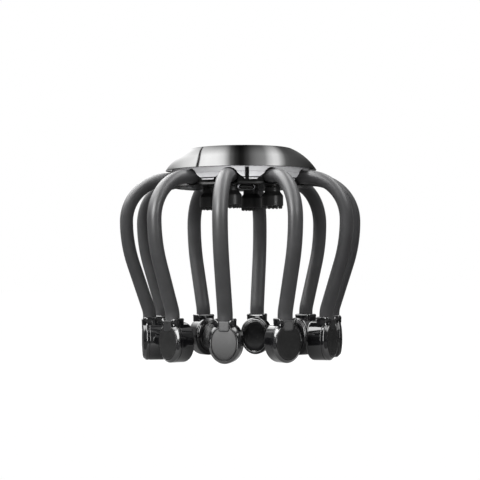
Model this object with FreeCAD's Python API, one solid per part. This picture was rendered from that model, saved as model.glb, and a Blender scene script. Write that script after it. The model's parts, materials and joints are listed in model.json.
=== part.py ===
import FreeCAD, Part
import math
import os

# Electric head massager that stands on its claws: a round hub with ten soft claws that end
# in vibrating pods, and four geared kneading heads under the hub.
# Millimetres, Z up, the floor under the pods at Z = 0 and the hub's axis on Z.
# Angles go round the axis from the front (-Y) and grow towards +X.

# Claws: an oval silicone rod that leaves the hub level, bends down and leans back in
ARM_COUNT = 10
ARM_FIRST_ANGLE = -10.0
ARM_WIDTH = 9.2
ARM_DEPTH = 8.2
ARM_RUN = 5.164
SHOULDER_RADIUS = 26.0
CALF_RADIUS = 84.9
ARM_LEAN = 18.4
SHIN_LENGTH = 27.97
ANKLE_RADIUS = 16.0
HEEL_LENGTH = 0.7
CLAW_SINK = 1.5
PLUG_DIAMETER = 4.6
PLUG_LENGTH = 4.0

# Root of each claw: a rounded end in a rounded cup, so that the claw can swing
ROOT_STEP = 0.2
SOCKET_CLEARANCE = 0.35
SOCKET_WALL = 3.5
SOCKET_FLOOR = 0.55
SOCKET_LIP = 0.8
NOTCH_CLEARANCE = 1.0

# Pods: an oval case with a collar, a tongued outer plate, an inner pad and a coin motor
POD_WIDTH = 19.4
POD_HEIGHT = 24.0
POD_DEPTH = 14.0
POD_EDGE = 1.6
COLLAR_WIDTH = 13.0
COLLAR_DEPTH = 9.4
COLLAR_HEIGHT = 2.5
COLLAR_ROOT = 4.2
COLLAR_CORNER = 2.0
COLLAR_STEP = 0.5
COLLAR_DIP_FLARE = 2.2
PLATE_RIM = 2.2
PLATE_DEPTH = 1.2
TONGUE_WIDTH = 6.4
TAB_PROUD = 0.4
TAB_DROP = 5.2
TAB_CORNER = 1.5
PAD_RIM = 2.4
PAD_DEPTH = 1.2
PAD_PROUD = 0.4
POD_MOTOR_DIAMETER = 10.0
POD_MOTOR_DEPTH = 3.0
SEAT_CLEARANCE = 0.1

# Kneading train: a central drive gear turns four gears with heads on their shafts
GEAR_MODULE = 0.8
DRIVE_TEETH = 24
KNEAD_TEETH = 27
KNEAD_COUNT = 4
KNEAD_FIRST_ANGLE = -18.0
GEAR_FACE = 4.0
GEAR_LIFT = 1.2
GEAR_FLOAT = 0.3
GEAR_ROOM = 1.0
TOOTH_ADDENDUM = 0.85
TOOTH_DEDENDUM = 1.15
TOOTH_SHARE = 0.39
PRESSURE_ANGLE = 20.0
CHAMBER_CLEARANCE = 0.8
RUNNING_CLEARANCE = 0.05
DRIVE_SHAFT_DIAMETER = 2.4
DRIVE_SHAFT_IN_MOTOR = 4.0
DRIVE_PIVOT_DEPTH = 0.9
KNEAD_JOURNAL_DIAMETER = 4.0
KNEAD_SHAFT_DIAMETER = 7.0
KNEAD_BOSS_DIAMETER = 9.0

# Kneading heads: a neck, a barrel and rings of nubs
HEAD_GAP = 0.4
NECK_DIAMETER = 9.8
NECK_HEIGHT = 2.6
SHOULDER_HEIGHT = 2.5
BARREL_DIAMETER = 13.4
BARREL_HEIGHT = 6.0
TAPER_HEIGHT = 0.4
HEAD_FACE_DIAMETER = 12.9
SHAFT_IN_HEAD = 8.5
NUB_COUNT = 14
INNER_NUB_COUNT = 7
NUB_DIAMETER = 1.6
NUB_TIP_DIAMETER = 1.3
NUB_HEIGHT = 1.7
NUB_MARGIN = 0.2

# Hub: base plate, claw carrier, skirt, trim ring and top cover
PLATE_FLANGE = 0.9
BASE_THICKNESS = 2.0
FOOT_WALL = 3.0
FOOT_FLARE = 0.5
FOOT_EDGE = 0.3
FOOT_HEIGHT = 1.6
DECK_THICKNESS = 1.8
SKIRT_WALL = 1.6
SKIRT_DROP = 2.2
SKIRT_TENON = 1.7
SKIRT_FLARE = 4.6
SKIRT_FLARE_HEIGHT = 3.6
SKIRT_LINE_DEPTH = 0.3
SKIRT_LINE_HEIGHT = 2.6
SKIRT_GROOVE_DEPTH = 0.6
SKIRT_GROOVE_WIDTH = 0.7
SKIRT_LIP = 0.9
SLIT_WIDTH = 2.4
SLIT_MARGIN = 0.6
RIM_GAP = 1.5
RIM_OVERHANG = 4.2
TRIM_WALL = 2.2
TRIM_LEDGE = 1.4
TRIM_LEDGE_THICKNESS = 1.0
TRIM_TOP_WALL = 1.6
TOP_RADIUS = 31.2
BAND_BULGE = 1.6
COVER_THICKNESS = 2.1
SCREW_SLOTS = (1, 3, 6, 8)
SCREW_DIAMETER = 2.0
SCREW_LENGTH = 5.5
SCREW_HEAD_DIAMETER = 3.8
SCREW_HEAD_HEIGHT = 1.0

# Inside the hub: motor, cell, board with its switch, and the button above it
MOTOR_DIAMETER = 20.0
MOTOR_HEIGHT = 6.8
CELL_LENGTH = 30.0
CELL_WIDTH = 14.0
CELL_HEIGHT = 6.2
CELL_GAP = 1.0
CELL_EDGE = 1.5
BOARD_RADIUS = 24.5
BOARD_THICKNESS = 1.2
BOARD_LIFT = 0.3
POST_DIAMETER = 4.0
POST_RING_RADIUS = 22.0
SWITCH_SIDE = 6.0
SWITCH_HEIGHT = 1.2
PLUNGER_DIAMETER = 3.0
PLUNGER_HEIGHT = 0.4
BUTTON_DIAMETER = 14.0
BUTTON_FLANGE = 1.2
BUTTON_FLANGE_HEIGHT = 0.8
BUTTON_TRAVEL = 0.8
BUTTON_CLEARANCE = 0.3
BUTTON_SINK = 0.2
BUTTON_DISH_RADIUS = 60.0

# Charging socket under the base plate, between the two front claws and below the skirt's slit
PORT_TURN = -3.2
PORT_WIDTH = 11.4
PORT_HEIGHT = 3.2
PORT_LENGTH = 7.5
PORT_INSET = 0.5
PORT_CORNER = 0.8
PORT_MOUTH_WIDTH = 9.0
PORT_MOUTH_HEIGHT = 2.4
PORT_MOUTH_CORNER = 1.15
PORT_MOUTH_DEPTH = 6.0
PORT_TONGUE_WIDTH = 6.6
PORT_TONGUE_THICKNESS = 0.7
PORT_TONGUE_LENGTH = 4.5

ORIGIN = FreeCAD.Vector(0, 0, 0)
UP = FreeCAD.Vector(0, 0, 1)
OUT = FreeCAD.Vector(1, 0, 0)
ACROSS = FreeCAD.Vector(0, 1, 0)

# Radii of the hub, from the gear train outwards
DRIVE_PITCH = GEAR_MODULE * DRIVE_TEETH / 2
KNEAD_PITCH = GEAR_MODULE * KNEAD_TEETH / 2
KNEAD_RING = DRIVE_PITCH + KNEAD_PITCH
CHAMBER_RADIUS = KNEAD_RING + KNEAD_PITCH + GEAR_MODULE * TOOTH_ADDENDUM + CHAMBER_CLEARANCE
ROOT_RADIUS = CHAMBER_RADIUS + SOCKET_WALL + ARM_DEPTH / 2 + SOCKET_CLEARANCE
CARRIER_RADIUS = ROOT_RADIUS + SOCKET_LIP
SKIRT_RADIUS = CARRIER_RADIUS + SKIRT_WALL
RIM_RADIUS = SKIRT_RADIUS + RIM_OVERHANG
BASE_RADIUS = CARRIER_RADIUS - FOOT_WALL
COVER_RADIUS = TOP_RADIUS - TRIM_TOP_WALL

# The claw's centre line, from the hub to the collar of its pod
LEAN_SIN = math.sin(math.radians(ARM_LEAN))
LEAN_COS = math.cos(math.radians(ARM_LEAN))
COLLAR_TOP = POD_HEIGHT + COLLAR_HEIGHT
CLAW_END = COLLAR_TOP - CLAW_SINK
ANKLE_END = COLLAR_TOP + HEEL_LENGTH
ANKLE_START = ANKLE_END + ANKLE_RADIUS * LEAN_SIN
CALF_END = ANKLE_START + SHIN_LENGTH * LEAN_COS
CALF_START = CALF_END + CALF_RADIUS * LEAN_SIN
ROOT_HEIGHT = CALF_START + SHOULDER_RADIUS
SHOULDER_START = ROOT_RADIUS + ARM_RUN
ARM_REACH = SHOULDER_START + SHOULDER_RADIUS
CALF_END_RADIUS = ARM_REACH - CALF_RADIUS * (1 - LEAN_COS)
ANKLE_START_RADIUS = CALF_END_RADIUS - SHIN_LENGTH * LEAN_SIN
POD_RADIUS = ANKLE_START_RADIUS - ANKLE_RADIUS * (1 - LEAN_COS)
POD_FACE = POD_RADIUS + COLLAR_DEPTH / 2 - COLLAR_STEP
POD_BACK = POD_FACE - POD_DEPTH

# Heights of the hub, from the claw roots up and down
BASE_BOTTOM = ROOT_HEIGHT - ARM_DEPTH / 2 - SOCKET_CLEARANCE - SOCKET_FLOOR
BASE_TOP = BASE_BOTTOM + BASE_THICKNESS
GEAR_BOTTOM = BASE_TOP + GEAR_LIFT
GEAR_TOP = GEAR_BOTTOM + GEAR_FACE
DECK_BOTTOM = GEAR_TOP + GEAR_ROOM
DECK_TOP = DECK_BOTTOM + DECK_THICKNESS
RIM_HEIGHT = ROOT_HEIGHT + ARM_DEPTH / 2 + RIM_GAP
SKIRT_BOTTOM = ROOT_HEIGHT - SKIRT_DROP
SKIRT_TOP = RIM_HEIGHT + SKIRT_TENON
MOTOR_TOP = DECK_TOP + MOTOR_HEIGHT
BOARD_BOTTOM = MOTOR_TOP + BOARD_LIFT
BOARD_TOP = BOARD_BOTTOM + BOARD_THICKNESS
PLUNGER_TOP = BOARD_TOP + SWITCH_HEIGHT + PLUNGER_HEIGHT
BUTTON_BOTTOM = PLUNGER_TOP + BUTTON_TRAVEL + BUTTON_CLEARANCE
COVER_BOTTOM = BUTTON_BOTTOM + BUTTON_FLANGE_HEIGHT + BUTTON_CLEARANCE
COVER_TOP = COVER_BOTTOM + COVER_THICKNESS
HEAD_TOP = BASE_BOTTOM - HEAD_GAP
ARM_STEP = 360 / ARM_COUNT
GAP_ANGLE = ARM_FIRST_ANGLE + ARM_STEP / 2
PORT_ANGLE = GAP_ANGLE + PORT_TURN


def point(radius, height):
    """A point in the plane through the axis and +X."""
    return FreeCAD.Vector(radius, 0, height)


def turned(shape, angle):
    """A copy of a shape built along +X, turned to an angle from the front."""
    copy = shape.copy()
    copy.rotate(ORIGIN, UP, angle - 90)
    return copy


def lines(points):
    """Straight edges through the points."""
    return [Part.LineSegment(a, b).toShape() for a, b in zip(points, points[1:])]


def closed(points):
    """A wire of straight edges that ends where it starts."""
    return Part.Wire(lines(list(points) + [points[0]]))


def outward(solid):
    """The same solid with its faces pointing out."""
    return solid if solid.Volume > 0 else solid.reversed()


def revolved(edges):
    """A solid turned round the hub's axis from a closed outline."""
    return outward(Part.Face(Part.Wire(edges)).revolve(ORIGIN, UP, 360))


def turned_profile(pairs):
    """A solid turned round the hub's axis from corners given as radius and height."""
    corners = [point(radius, height) for radius, height in pairs]
    return revolved(lines(corners + [corners[0]]))


def rod(diameter, bottom, top, radius=0.0):
    """An upright cylinder at a radius from the axis."""
    return Part.makeCylinder(diameter / 2, top - bottom, point(radius, bottom), UP)


def ellipse(centre, across, upright):
    """An upright ellipse square to +X, with its half widths across and up."""
    ends = [(across, centre + ACROSS * across), (upright, centre + UP * upright)]
    ends.sort(key=lambda end: end[0], reverse=True)
    return Part.Ellipse(ends[0][1], ends[1][1], centre)


def oval_prism(across, upright, height, start, end):
    """An oval disc square to +X, centred at a height."""
    wire = Part.Wire([ellipse(point(start, height), across, upright).toShape()])
    return outward(Part.Face(wire).extrude(OUT * (end - start)))


def block(start, end, width, bottom, top):
    """A box along +X, centred across."""
    return Part.makeBox(end - start, width, top - bottom, FreeCAD.Vector(start, -width / 2, bottom))


def knuckle(clearance):
    """The round barrel across a claw's root that the claw swings about."""
    width = ARM_WIDTH + 2 * clearance
    start = FreeCAD.Vector(ROOT_RADIUS, -width / 2, ROOT_HEIGHT)
    return Part.makeCylinder(ARM_DEPTH / 2 + clearance, width, start, ACROSS)


def arm_path():
    """Centre line of a claw, from its root to its seat in the collar."""
    half = math.radians(45)
    half_lean = math.radians(ARM_LEAN / 2)
    shoulder = point(SHOULDER_START + SHOULDER_RADIUS * math.sin(half),
                     CALF_START + SHOULDER_RADIUS * math.cos(half))
    calf = point(ARM_REACH - CALF_RADIUS * (1 - math.cos(half_lean)),
                 CALF_START - CALF_RADIUS * math.sin(half_lean))
    ankle = point(POD_RADIUS + ANKLE_RADIUS * (1 - math.cos(half_lean)),
                  ANKLE_END + ANKLE_RADIUS * math.sin(half_lean))
    root = point(ROOT_RADIUS, ROOT_HEIGHT)
    bend = point(SHOULDER_START, ROOT_HEIGHT)
    side = point(ARM_REACH, CALF_START)
    shin = point(CALF_END_RADIUS, CALF_END)
    foot = point(ANKLE_START_RADIUS, ANKLE_START)
    heel = point(POD_RADIUS, ANKLE_END)
    tip = point(POD_RADIUS, CLAW_END)
    return Part.Wire([
        Part.LineSegment(root, bend).toShape(),
        Part.Arc(bend, shoulder, side).toShape(),
        Part.Arc(side, calf, shin).toShape(),
        Part.LineSegment(shin, foot).toShape(),
        Part.Arc(foot, ankle, heel).toShape(),
        Part.LineSegment(heel, tip).toShape(),
    ])


def claw_arm():
    """The silicone claw: rounded root, oval rod and the plug in the pod's collar."""
    root = point(ROOT_RADIUS, ROOT_HEIGHT)
    section = Part.Wire([ellipse(root, ARM_WIDTH / 2, ARM_DEPTH / 2).toShape()])
    sweep = Part.BRepOffsetAPI.MakePipeShell(arm_path())
    sweep.setBiNormalMode(ACROSS)
    sweep.add(section)
    sweep.build()
    sweep.makeSolid()
    tube = outward(sweep.shape())
    stub = oval_prism(ARM_WIDTH / 2, ARM_DEPTH / 2, ROOT_HEIGHT, ROOT_RADIUS - ARM_DEPTH, ROOT_RADIUS)
    rounded_end = stub.common(knuckle(-ROOT_STEP))
    plug = rod(PLUG_DIAMETER, CLAW_END - PLUG_LENGTH, CLAW_END, POD_RADIUS)
    return tube.fuse([rounded_end, plug])


def outer_plate(clearance):
    """The pod's oval outer plate with the tongue that runs up through the collar."""
    start = POD_FACE - PLATE_DEPTH - clearance
    end = POD_FACE if clearance == 0 else POD_RADIUS + COLLAR_DEPTH
    middle = POD_HEIGHT / 2
    oval = oval_prism(POD_WIDTH / 2 - PLATE_RIM + clearance, middle - PLATE_RIM + clearance,
                      middle, start, end)
    tongue = block(start, end, TONGUE_WIDTH + 2 * clearance, middle, CLAW_END)
    return oval.fuse(tongue).removeSplitter()


def tongue_tab():
    """The raised upper end of the outer plate, with round lower corners."""
    tab = block(POD_FACE, POD_FACE + TAB_PROUD, TONGUE_WIDTH, POD_HEIGHT - TAB_DROP, CLAW_END)
    low = [edge for edge in tab.Edges if edge.BoundBox.ZMax < POD_HEIGHT - TAB_DROP / 2]
    corners = [edge for edge in low if edge.BoundBox.YLength < TAB_CORNER]
    return tab.makeFillet(TAB_CORNER, corners)


def inner_pad(clearance):
    """The pod's oval contact pad, a little proud of its inner side."""
    start = POD_BACK - PAD_PROUD
    middle = POD_HEIGHT / 2
    return oval_prism(POD_WIDTH / 2 - PAD_RIM + clearance, middle - PAD_RIM + clearance,
                      middle, start, start + PAD_DEPTH + clearance)


def pod_motor(clearance):
    """The coin motor behind the outer plate."""
    end = POD_FACE - PLATE_DEPTH - SEAT_CLEARANCE
    start = end - POD_MOTOR_DEPTH
    return Part.makeCylinder(POD_MOTOR_DIAMETER / 2 + clearance, end - start,
                             point(start, POD_HEIGHT / 2), OUT)


def collar_dip(start, end):
    """The flared dip across the collar's top, between its ears."""
    half = TONGUE_WIDTH / 2 + SEAT_CLEARANCE
    wide = half + COLLAR_DIP_FLARE
    outline = [(-half, CLAW_END), (half, CLAW_END), (wide, COLLAR_TOP), (-wide, COLLAR_TOP)]
    corners = [FreeCAD.Vector(start, across, height) for across, height in outline]
    return outward(Part.Face(closed(corners)).extrude(OUT * (end - start)))


def collar():
    """The collar that holds the claw, with an ear on each side and a lip over the case's face."""
    back = POD_RADIUS - COLLAR_DEPTH / 2
    front = POD_RADIUS + COLLAR_DEPTH / 2
    middle = POD_HEIGHT / 2
    body = block(back, front, COLLAR_WIDTH, POD_HEIGHT - COLLAR_ROOT, COLLAR_TOP)
    uprights = [edge for edge in body.Edges if edge.BoundBox.ZLength > COLLAR_ROOT]
    body = body.makeFillet(COLLAR_CORNER, uprights)
    seat = Part.Ellipse(FreeCAD.Vector(POD_RADIUS, ARM_WIDTH / 2 + SEAT_CLEARANCE, CLAW_END),
                        FreeCAD.Vector(POD_RADIUS + ARM_DEPTH / 2 + SEAT_CLEARANCE, 0, CLAW_END),
                        point(POD_RADIUS, CLAW_END))
    claw_seat = outward(Part.Face(Part.Wire([seat.toShape()])).extrude(UP * CLAW_SINK))
    below_lip = oval_prism(POD_WIDTH / 2, middle, middle, POD_FACE, front)
    return body.cut([claw_seat, collar_dip(back, front), below_lip])


def pod_case():
    """The glossy oval case with its collar, hollowed for what it holds."""
    middle = POD_HEIGHT / 2
    disc = oval_prism(POD_WIDTH / 2, middle, middle, POD_BACK, POD_FACE)
    rims = [edge for edge in disc.Edges if edge.BoundBox.XLength < POD_EDGE]
    disc = disc.makeFillet(POD_EDGE, rims)
    bore = rod(PLUG_DIAMETER + 2 * SEAT_CLEARANCE, CLAW_END - PLUG_LENGTH, CLAW_END, POD_RADIUS)
    spaces = [bore, outer_plate(SEAT_CLEARANCE), inner_pad(SEAT_CLEARANCE), pod_motor(SEAT_CLEARANCE)]
    return disc.fuse(collar()).cut(spaces).removeSplitter()


def pod_faces():
    """Outer plate and inner pad of one pod."""
    return Part.makeCompound([outer_plate(0).fuse(tongue_tab()).removeSplitter(), inner_pad(0)])


def gear_blank(teeth, first_tooth_angle):
    """A spur gear between the gear heights, on the axis."""
    pitch = GEAR_MODULE * teeth / 2
    tip = pitch + GEAR_MODULE * TOOTH_ADDENDUM
    foot = pitch - GEAR_MODULE * TOOTH_DEDENDUM
    slope = math.tan(math.radians(PRESSURE_ANGLE))
    half_pitch = math.pi * GEAR_MODULE * TOOTH_SHARE / 2
    half_tip = half_pitch - slope * (tip - pitch)
    half_foot = half_pitch + slope * (pitch - foot)
    corners = []
    for tooth in range(teeth):
        middle = math.radians(first_tooth_angle) + 2 * math.pi * tooth / teeth
        for radius, half in ((foot, -half_foot), (tip, -half_tip), (tip, half_tip), (foot, half_foot)):
            angle = middle + half / radius
            corners.append(FreeCAD.Vector(radius * math.cos(angle), radius * math.sin(angle), GEAR_BOTTOM))
    return outward(Part.Face(closed(corners)).extrude(UP * GEAR_FACE))


def drive_gear():
    """The central gear on the motor's shaft, with a pivot in the base plate."""
    teeth = gear_blank(DRIVE_TEETH, KNEAD_FIRST_ANGLE - 90)
    shaft = rod(DRIVE_SHAFT_DIAMETER, BASE_TOP - DRIVE_PIVOT_DEPTH, DECK_TOP + DRIVE_SHAFT_IN_MOTOR)
    return teeth.fuse(shaft).removeSplitter()


def knead_gear():
    """A driven gear with its journals and the shaft that carries a kneading head."""
    teeth = gear_blank(KNEAD_TEETH, 180 + 180 / KNEAD_TEETH)
    teeth.translate(point(KNEAD_RING, 0))
    journal = rod(KNEAD_JOURNAL_DIAMETER, GEAR_TOP, DECK_TOP - GEAR_FLOAT, KNEAD_RING)
    boss = rod(KNEAD_BOSS_DIAMETER, BASE_TOP + GEAR_FLOAT, GEAR_BOTTOM, KNEAD_RING)
    shaft = rod(KNEAD_SHAFT_DIAMETER, HEAD_TOP - SHAFT_IN_HEAD, GEAR_BOTTOM, KNEAD_RING)
    return teeth.fuse([journal, boss, shaft]).removeSplitter()


def knead_head():
    """A silicone kneading head: neck, barrel and nubs, bored for its shaft."""
    neck_bottom = HEAD_TOP - NECK_HEIGHT
    barrel_top = neck_bottom - SHOULDER_HEIGHT
    barrel_bottom = barrel_top - BARREL_HEIGHT
    face = barrel_bottom - TAPER_HEIGHT
    head = turned_profile([
        (0, HEAD_TOP),
        (NECK_DIAMETER / 2, HEAD_TOP),
        (NECK_DIAMETER / 2, neck_bottom),
        (BARREL_DIAMETER / 2, barrel_top),
        (BARREL_DIAMETER / 2, barrel_bottom),
        (HEAD_FACE_DIAMETER / 2, face),
        (0, face),
    ])
    nub = Part.makeCone(NUB_TIP_DIAMETER / 2, NUB_DIAMETER / 2, NUB_HEIGHT,
                        point(0, face - NUB_HEIGHT), UP)
    ring_radius = HEAD_FACE_DIAMETER / 2 - NUB_DIAMETER / 2 - NUB_MARGIN
    nubs = [nub]
    for count, radius in ((NUB_COUNT, ring_radius), (INNER_NUB_COUNT, ring_radius / 2)):
        placed = nub.copy()
        placed.translate(OUT * radius)
        nubs += all_round(placed, count, 0)
    head = head.fuse(nubs).removeSplitter()
    head.translate(OUT * KNEAD_RING)
    return head.cut(rod(KNEAD_SHAFT_DIAMETER, HEAD_TOP - SHAFT_IN_HEAD, HEAD_TOP, KNEAD_RING))


def all_round(shape, count, first_angle):
    """Copies of a shape built along +X, spaced evenly round the axis."""
    return [turned(shape, first_angle + 360 * index / count) for index in range(count)]


def screw_angles():
    """Angles of the base screws, each midway between two claws."""
    return [GAP_ANGLE + ARM_STEP * slot for slot in SCREW_SLOTS]


def base_screw():
    """One pan-head screw through the base plate's flange."""
    radius = (CHAMBER_RADIUS + BASE_RADIUS) / 2
    head = rod(SCREW_HEAD_DIAMETER, BASE_BOTTOM - SCREW_HEAD_HEIGHT, BASE_BOTTOM, radius)
    shank = rod(SCREW_DIAMETER, BASE_BOTTOM, BASE_BOTTOM + SCREW_LENGTH, radius)
    return head.fuse(shank).removeSplitter()


def base_plate():
    """The glossy plate under the hub, with a spigot in the gear chamber."""
    plate = turned_profile([
        (0, BASE_BOTTOM),
        (BASE_RADIUS, BASE_BOTTOM),
        (BASE_RADIUS, BASE_BOTTOM + PLATE_FLANGE),
        (CHAMBER_RADIUS - SEAT_CLEARANCE, BASE_BOTTOM + PLATE_FLANGE),
        (CHAMBER_RADIUS - SEAT_CLEARANCE, BASE_TOP),
        (0, BASE_TOP),
    ])
    bearing = rod(KNEAD_SHAFT_DIAMETER + 2 * RUNNING_CLEARANCE, BASE_BOTTOM, BASE_TOP, KNEAD_RING)
    pivot = rod(DRIVE_SHAFT_DIAMETER + 2 * RUNNING_CLEARANCE, BASE_TOP - DRIVE_PIVOT_DEPTH - GEAR_FLOAT,
                BASE_TOP)
    holes = all_round(bearing, KNEAD_COUNT, KNEAD_FIRST_ANGLE) + [pivot]
    holes += [turned(base_screw(), angle) for angle in screw_angles()]
    return plate.cut(holes)


def swing_room():
    """The space that a claw needs where it leaves its socket."""
    grown = (ARM_WIDTH / 2 + NOTCH_CLEARANCE, ARM_DEPTH / 2 + NOTCH_CLEARANCE)
    return oval_prism(grown[0], grown[1], ROOT_HEIGHT, ROOT_RADIUS, RIM_RADIUS + RIM_OVERHANG)


def arm_carrier():
    """The black frame of the hub: claw sockets, the gear chamber and the deck above it."""
    frame = turned_profile([
        (0, DECK_BOTTOM),
        (CHAMBER_RADIUS, DECK_BOTTOM),
        (CHAMBER_RADIUS, BASE_BOTTOM + PLATE_FLANGE),
        (BASE_RADIUS + SEAT_CLEARANCE, BASE_BOTTOM + PLATE_FLANGE),
        (BASE_RADIUS + SEAT_CLEARANCE, BASE_BOTTOM),
        (CARRIER_RADIUS + FOOT_FLARE, BASE_BOTTOM),
        (CARRIER_RADIUS + FOOT_FLARE, BASE_BOTTOM + FOOT_EDGE),
        (CARRIER_RADIUS, BASE_BOTTOM + FOOT_HEIGHT),
        (CARRIER_RADIUS, DECK_TOP),
        (0, DECK_TOP),
    ])
    post = rod(POST_DIAMETER, DECK_TOP, BOARD_BOTTOM, POST_RING_RADIUS)
    half_step = 180 / KNEAD_COUNT
    posts = all_round(post, KNEAD_COUNT, KNEAD_FIRST_ANGLE + half_step)
    posts = [copy for copy in posts if copy.distToShape(battery_cell())[0] > SEAT_CLEARANCE]
    cup = knuckle(SOCKET_CLEARANCE)
    journal = rod(KNEAD_JOURNAL_DIAMETER + 2 * RUNNING_CLEARANCE, DECK_BOTTOM, DECK_TOP, KNEAD_RING)
    shaft_hole = rod(DRIVE_SHAFT_DIAMETER + 2 * GEAR_FLOAT, DECK_BOTTOM, DECK_TOP)
    spaces = all_round(cup.fuse(swing_room()), ARM_COUNT, ARM_FIRST_ANGLE)
    spaces += all_round(journal, KNEAD_COUNT, KNEAD_FIRST_ANGLE) + [shaft_hole]
    spaces += [turned(base_screw(), angle) for angle in screw_angles()]
    return frame.fuse(posts).cut(spaces)


def skirt_notch():
    """The flared opening in the skirt that a claw comes out of."""
    half = ARM_WIDTH / 2 + NOTCH_CLEARANCE
    top = SKIRT_BOTTOM + SKIRT_FLARE_HEIGHT
    inside = CARRIER_RADIUS - SKIRT_WALL
    wide = half + SKIRT_FLARE
    outline = [(-half, top), (half, top), (wide, SKIRT_BOTTOM), (-wide, SKIRT_BOTTOM)]
    corners = [FreeCAD.Vector(inside, across, height) for across, height in outline]
    flare = outward(Part.Face(closed(corners)).extrude(OUT * (RIM_RADIUS - inside)))
    return flare.fuse(swing_room())


def skirt_ring():
    """The bright ring under the trim, notched for the claws, with a line, a groove and one slit."""
    ring = turned_profile([
        (CARRIER_RADIUS, SKIRT_BOTTOM),
        (SKIRT_RADIUS, SKIRT_BOTTOM),
        (SKIRT_RADIUS, SKIRT_TOP),
        (CARRIER_RADIUS, SKIRT_TOP),
    ])
    line_height = ROOT_HEIGHT + SKIRT_LINE_HEIGHT
    line = turned_profile([
        (SKIRT_RADIUS - SKIRT_LINE_DEPTH, line_height),
        (SKIRT_RADIUS + SKIRT_LINE_DEPTH, line_height - 2 * SKIRT_LINE_DEPTH),
        (SKIRT_RADIUS + SKIRT_LINE_DEPTH, line_height + 2 * SKIRT_LINE_DEPTH),
    ])
    groove_bottom = SKIRT_BOTTOM + SKIRT_LIP
    groove = turned_profile([
        (SKIRT_RADIUS - SKIRT_GROOVE_DEPTH, groove_bottom),
        (SKIRT_RADIUS + SKIRT_GROOVE_DEPTH, groove_bottom),
        (SKIRT_RADIUS + SKIRT_GROOVE_DEPTH, groove_bottom + SKIRT_GROOVE_WIDTH),
        (SKIRT_RADIUS - SKIRT_GROOVE_DEPTH, groove_bottom + SKIRT_GROOVE_WIDTH),
    ])
    slit = block(CARRIER_RADIUS - SKIRT_WALL, RIM_RADIUS, SLIT_WIDTH,
                 SKIRT_BOTTOM + SLIT_MARGIN, RIM_HEIGHT - SLIT_MARGIN)
    spaces = all_round(skirt_notch(), ARM_COUNT, ARM_FIRST_ANGLE)
    spaces += [line, groove, turned(slit, PORT_ANGLE)]
    return ring.cut(spaces).removeSplitter()


def bulged(start, end, bulge):
    """An arc between two points that stands out from its chord, away from the axis."""
    chord = end - start
    away = FreeCAD.Vector(chord.z, 0, -chord.x).normalize()
    middle = (start + end) * 0.5 + away * bulge
    return Part.Arc(start, middle, end).toShape()


def trim_ring():
    """The mirror-bright sloping band round the hub."""
    rim = point(RIM_RADIUS, RIM_HEIGHT)
    crest = point(TOP_RADIUS, COVER_TOP)
    ledge_radius = COVER_RADIUS - TRIM_LEDGE
    step = point(SKIRT_RADIUS + SEAT_CLEARANCE - TRIM_WALL / 2, SKIRT_TOP + SEAT_CLEARANCE)
    inner = point(ledge_radius, COVER_BOTTOM - TRIM_LEDGE_THICKNESS)
    edges = [bulged(rim, crest, BAND_BULGE)]
    edges += lines([
        crest,
        point(COVER_RADIUS + SEAT_CLEARANCE, COVER_TOP),
        point(COVER_RADIUS + SEAT_CLEARANCE, COVER_BOTTOM),
        point(ledge_radius, COVER_BOTTOM),
        inner,
        step,
        point(SKIRT_RADIUS + SEAT_CLEARANCE, SKIRT_TOP + SEAT_CLEARANCE),
        point(SKIRT_RADIUS + SEAT_CLEARANCE, RIM_HEIGHT),
        rim,
    ])
    return revolved(edges)


def top_cover():
    """The flat disc on top, with the button's hole."""
    disc = rod(2 * COVER_RADIUS, COVER_BOTTOM, COVER_TOP)
    return disc.cut(rod(BUTTON_DIAMETER + 2 * BUTTON_CLEARANCE, COVER_BOTTOM, COVER_TOP))


def power_button():
    """The round push button with a retaining flange and a shallow finger dish."""
    top = COVER_TOP - BUTTON_SINK
    flange = rod(BUTTON_DIAMETER + 2 * BUTTON_FLANGE, BUTTON_BOTTOM, BUTTON_BOTTOM + BUTTON_FLANGE_HEIGHT)
    cap = rod(BUTTON_DIAMETER, BUTTON_BOTTOM, top)
    half = BUTTON_DIAMETER / 2 - BUTTON_FLANGE
    centre = top + math.sqrt(BUTTON_DISH_RADIUS ** 2 - half ** 2)
    dish = Part.makeSphere(BUTTON_DISH_RADIUS, point(0, centre))
    return flange.fuse(cap).cut(dish).removeSplitter()


def circuit_board():
    """The round board on its posts, with the push switch soldered in the middle."""
    board = rod(2 * BOARD_RADIUS, BOARD_BOTTOM, BOARD_TOP)
    switch = block(-SWITCH_SIDE / 2, SWITCH_SIDE / 2, SWITCH_SIDE, BOARD_TOP, BOARD_TOP + SWITCH_HEIGHT)
    plunger = rod(PLUNGER_DIAMETER, BOARD_TOP + SWITCH_HEIGHT, PLUNGER_TOP)
    return board.fuse([switch, plunger]).removeSplitter()


def battery_cell():
    """The pouch cell on the deck, behind the motor."""
    near = MOTOR_DIAMETER / 2 + CELL_GAP
    cell = block(near, near + CELL_WIDTH, CELL_LENGTH, DECK_TOP, DECK_TOP + CELL_HEIGHT)
    uprights = [edge for edge in cell.Edges if edge.BoundBox.ZLength > CELL_HEIGHT / 2]
    return turned(cell.makeFillet(CELL_EDGE, uprights), 180)


def drive_motor():
    """The flat motor on the deck, bored for the drive gear's shaft."""
    body = rod(MOTOR_DIAMETER, DECK_TOP, MOTOR_TOP)
    depth = DRIVE_SHAFT_IN_MOTOR + GEAR_FLOAT
    return body.cut(rod(DRIVE_SHAFT_DIAMETER + 2 * RUNNING_CLEARANCE, DECK_TOP, DECK_TOP + depth))


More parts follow.
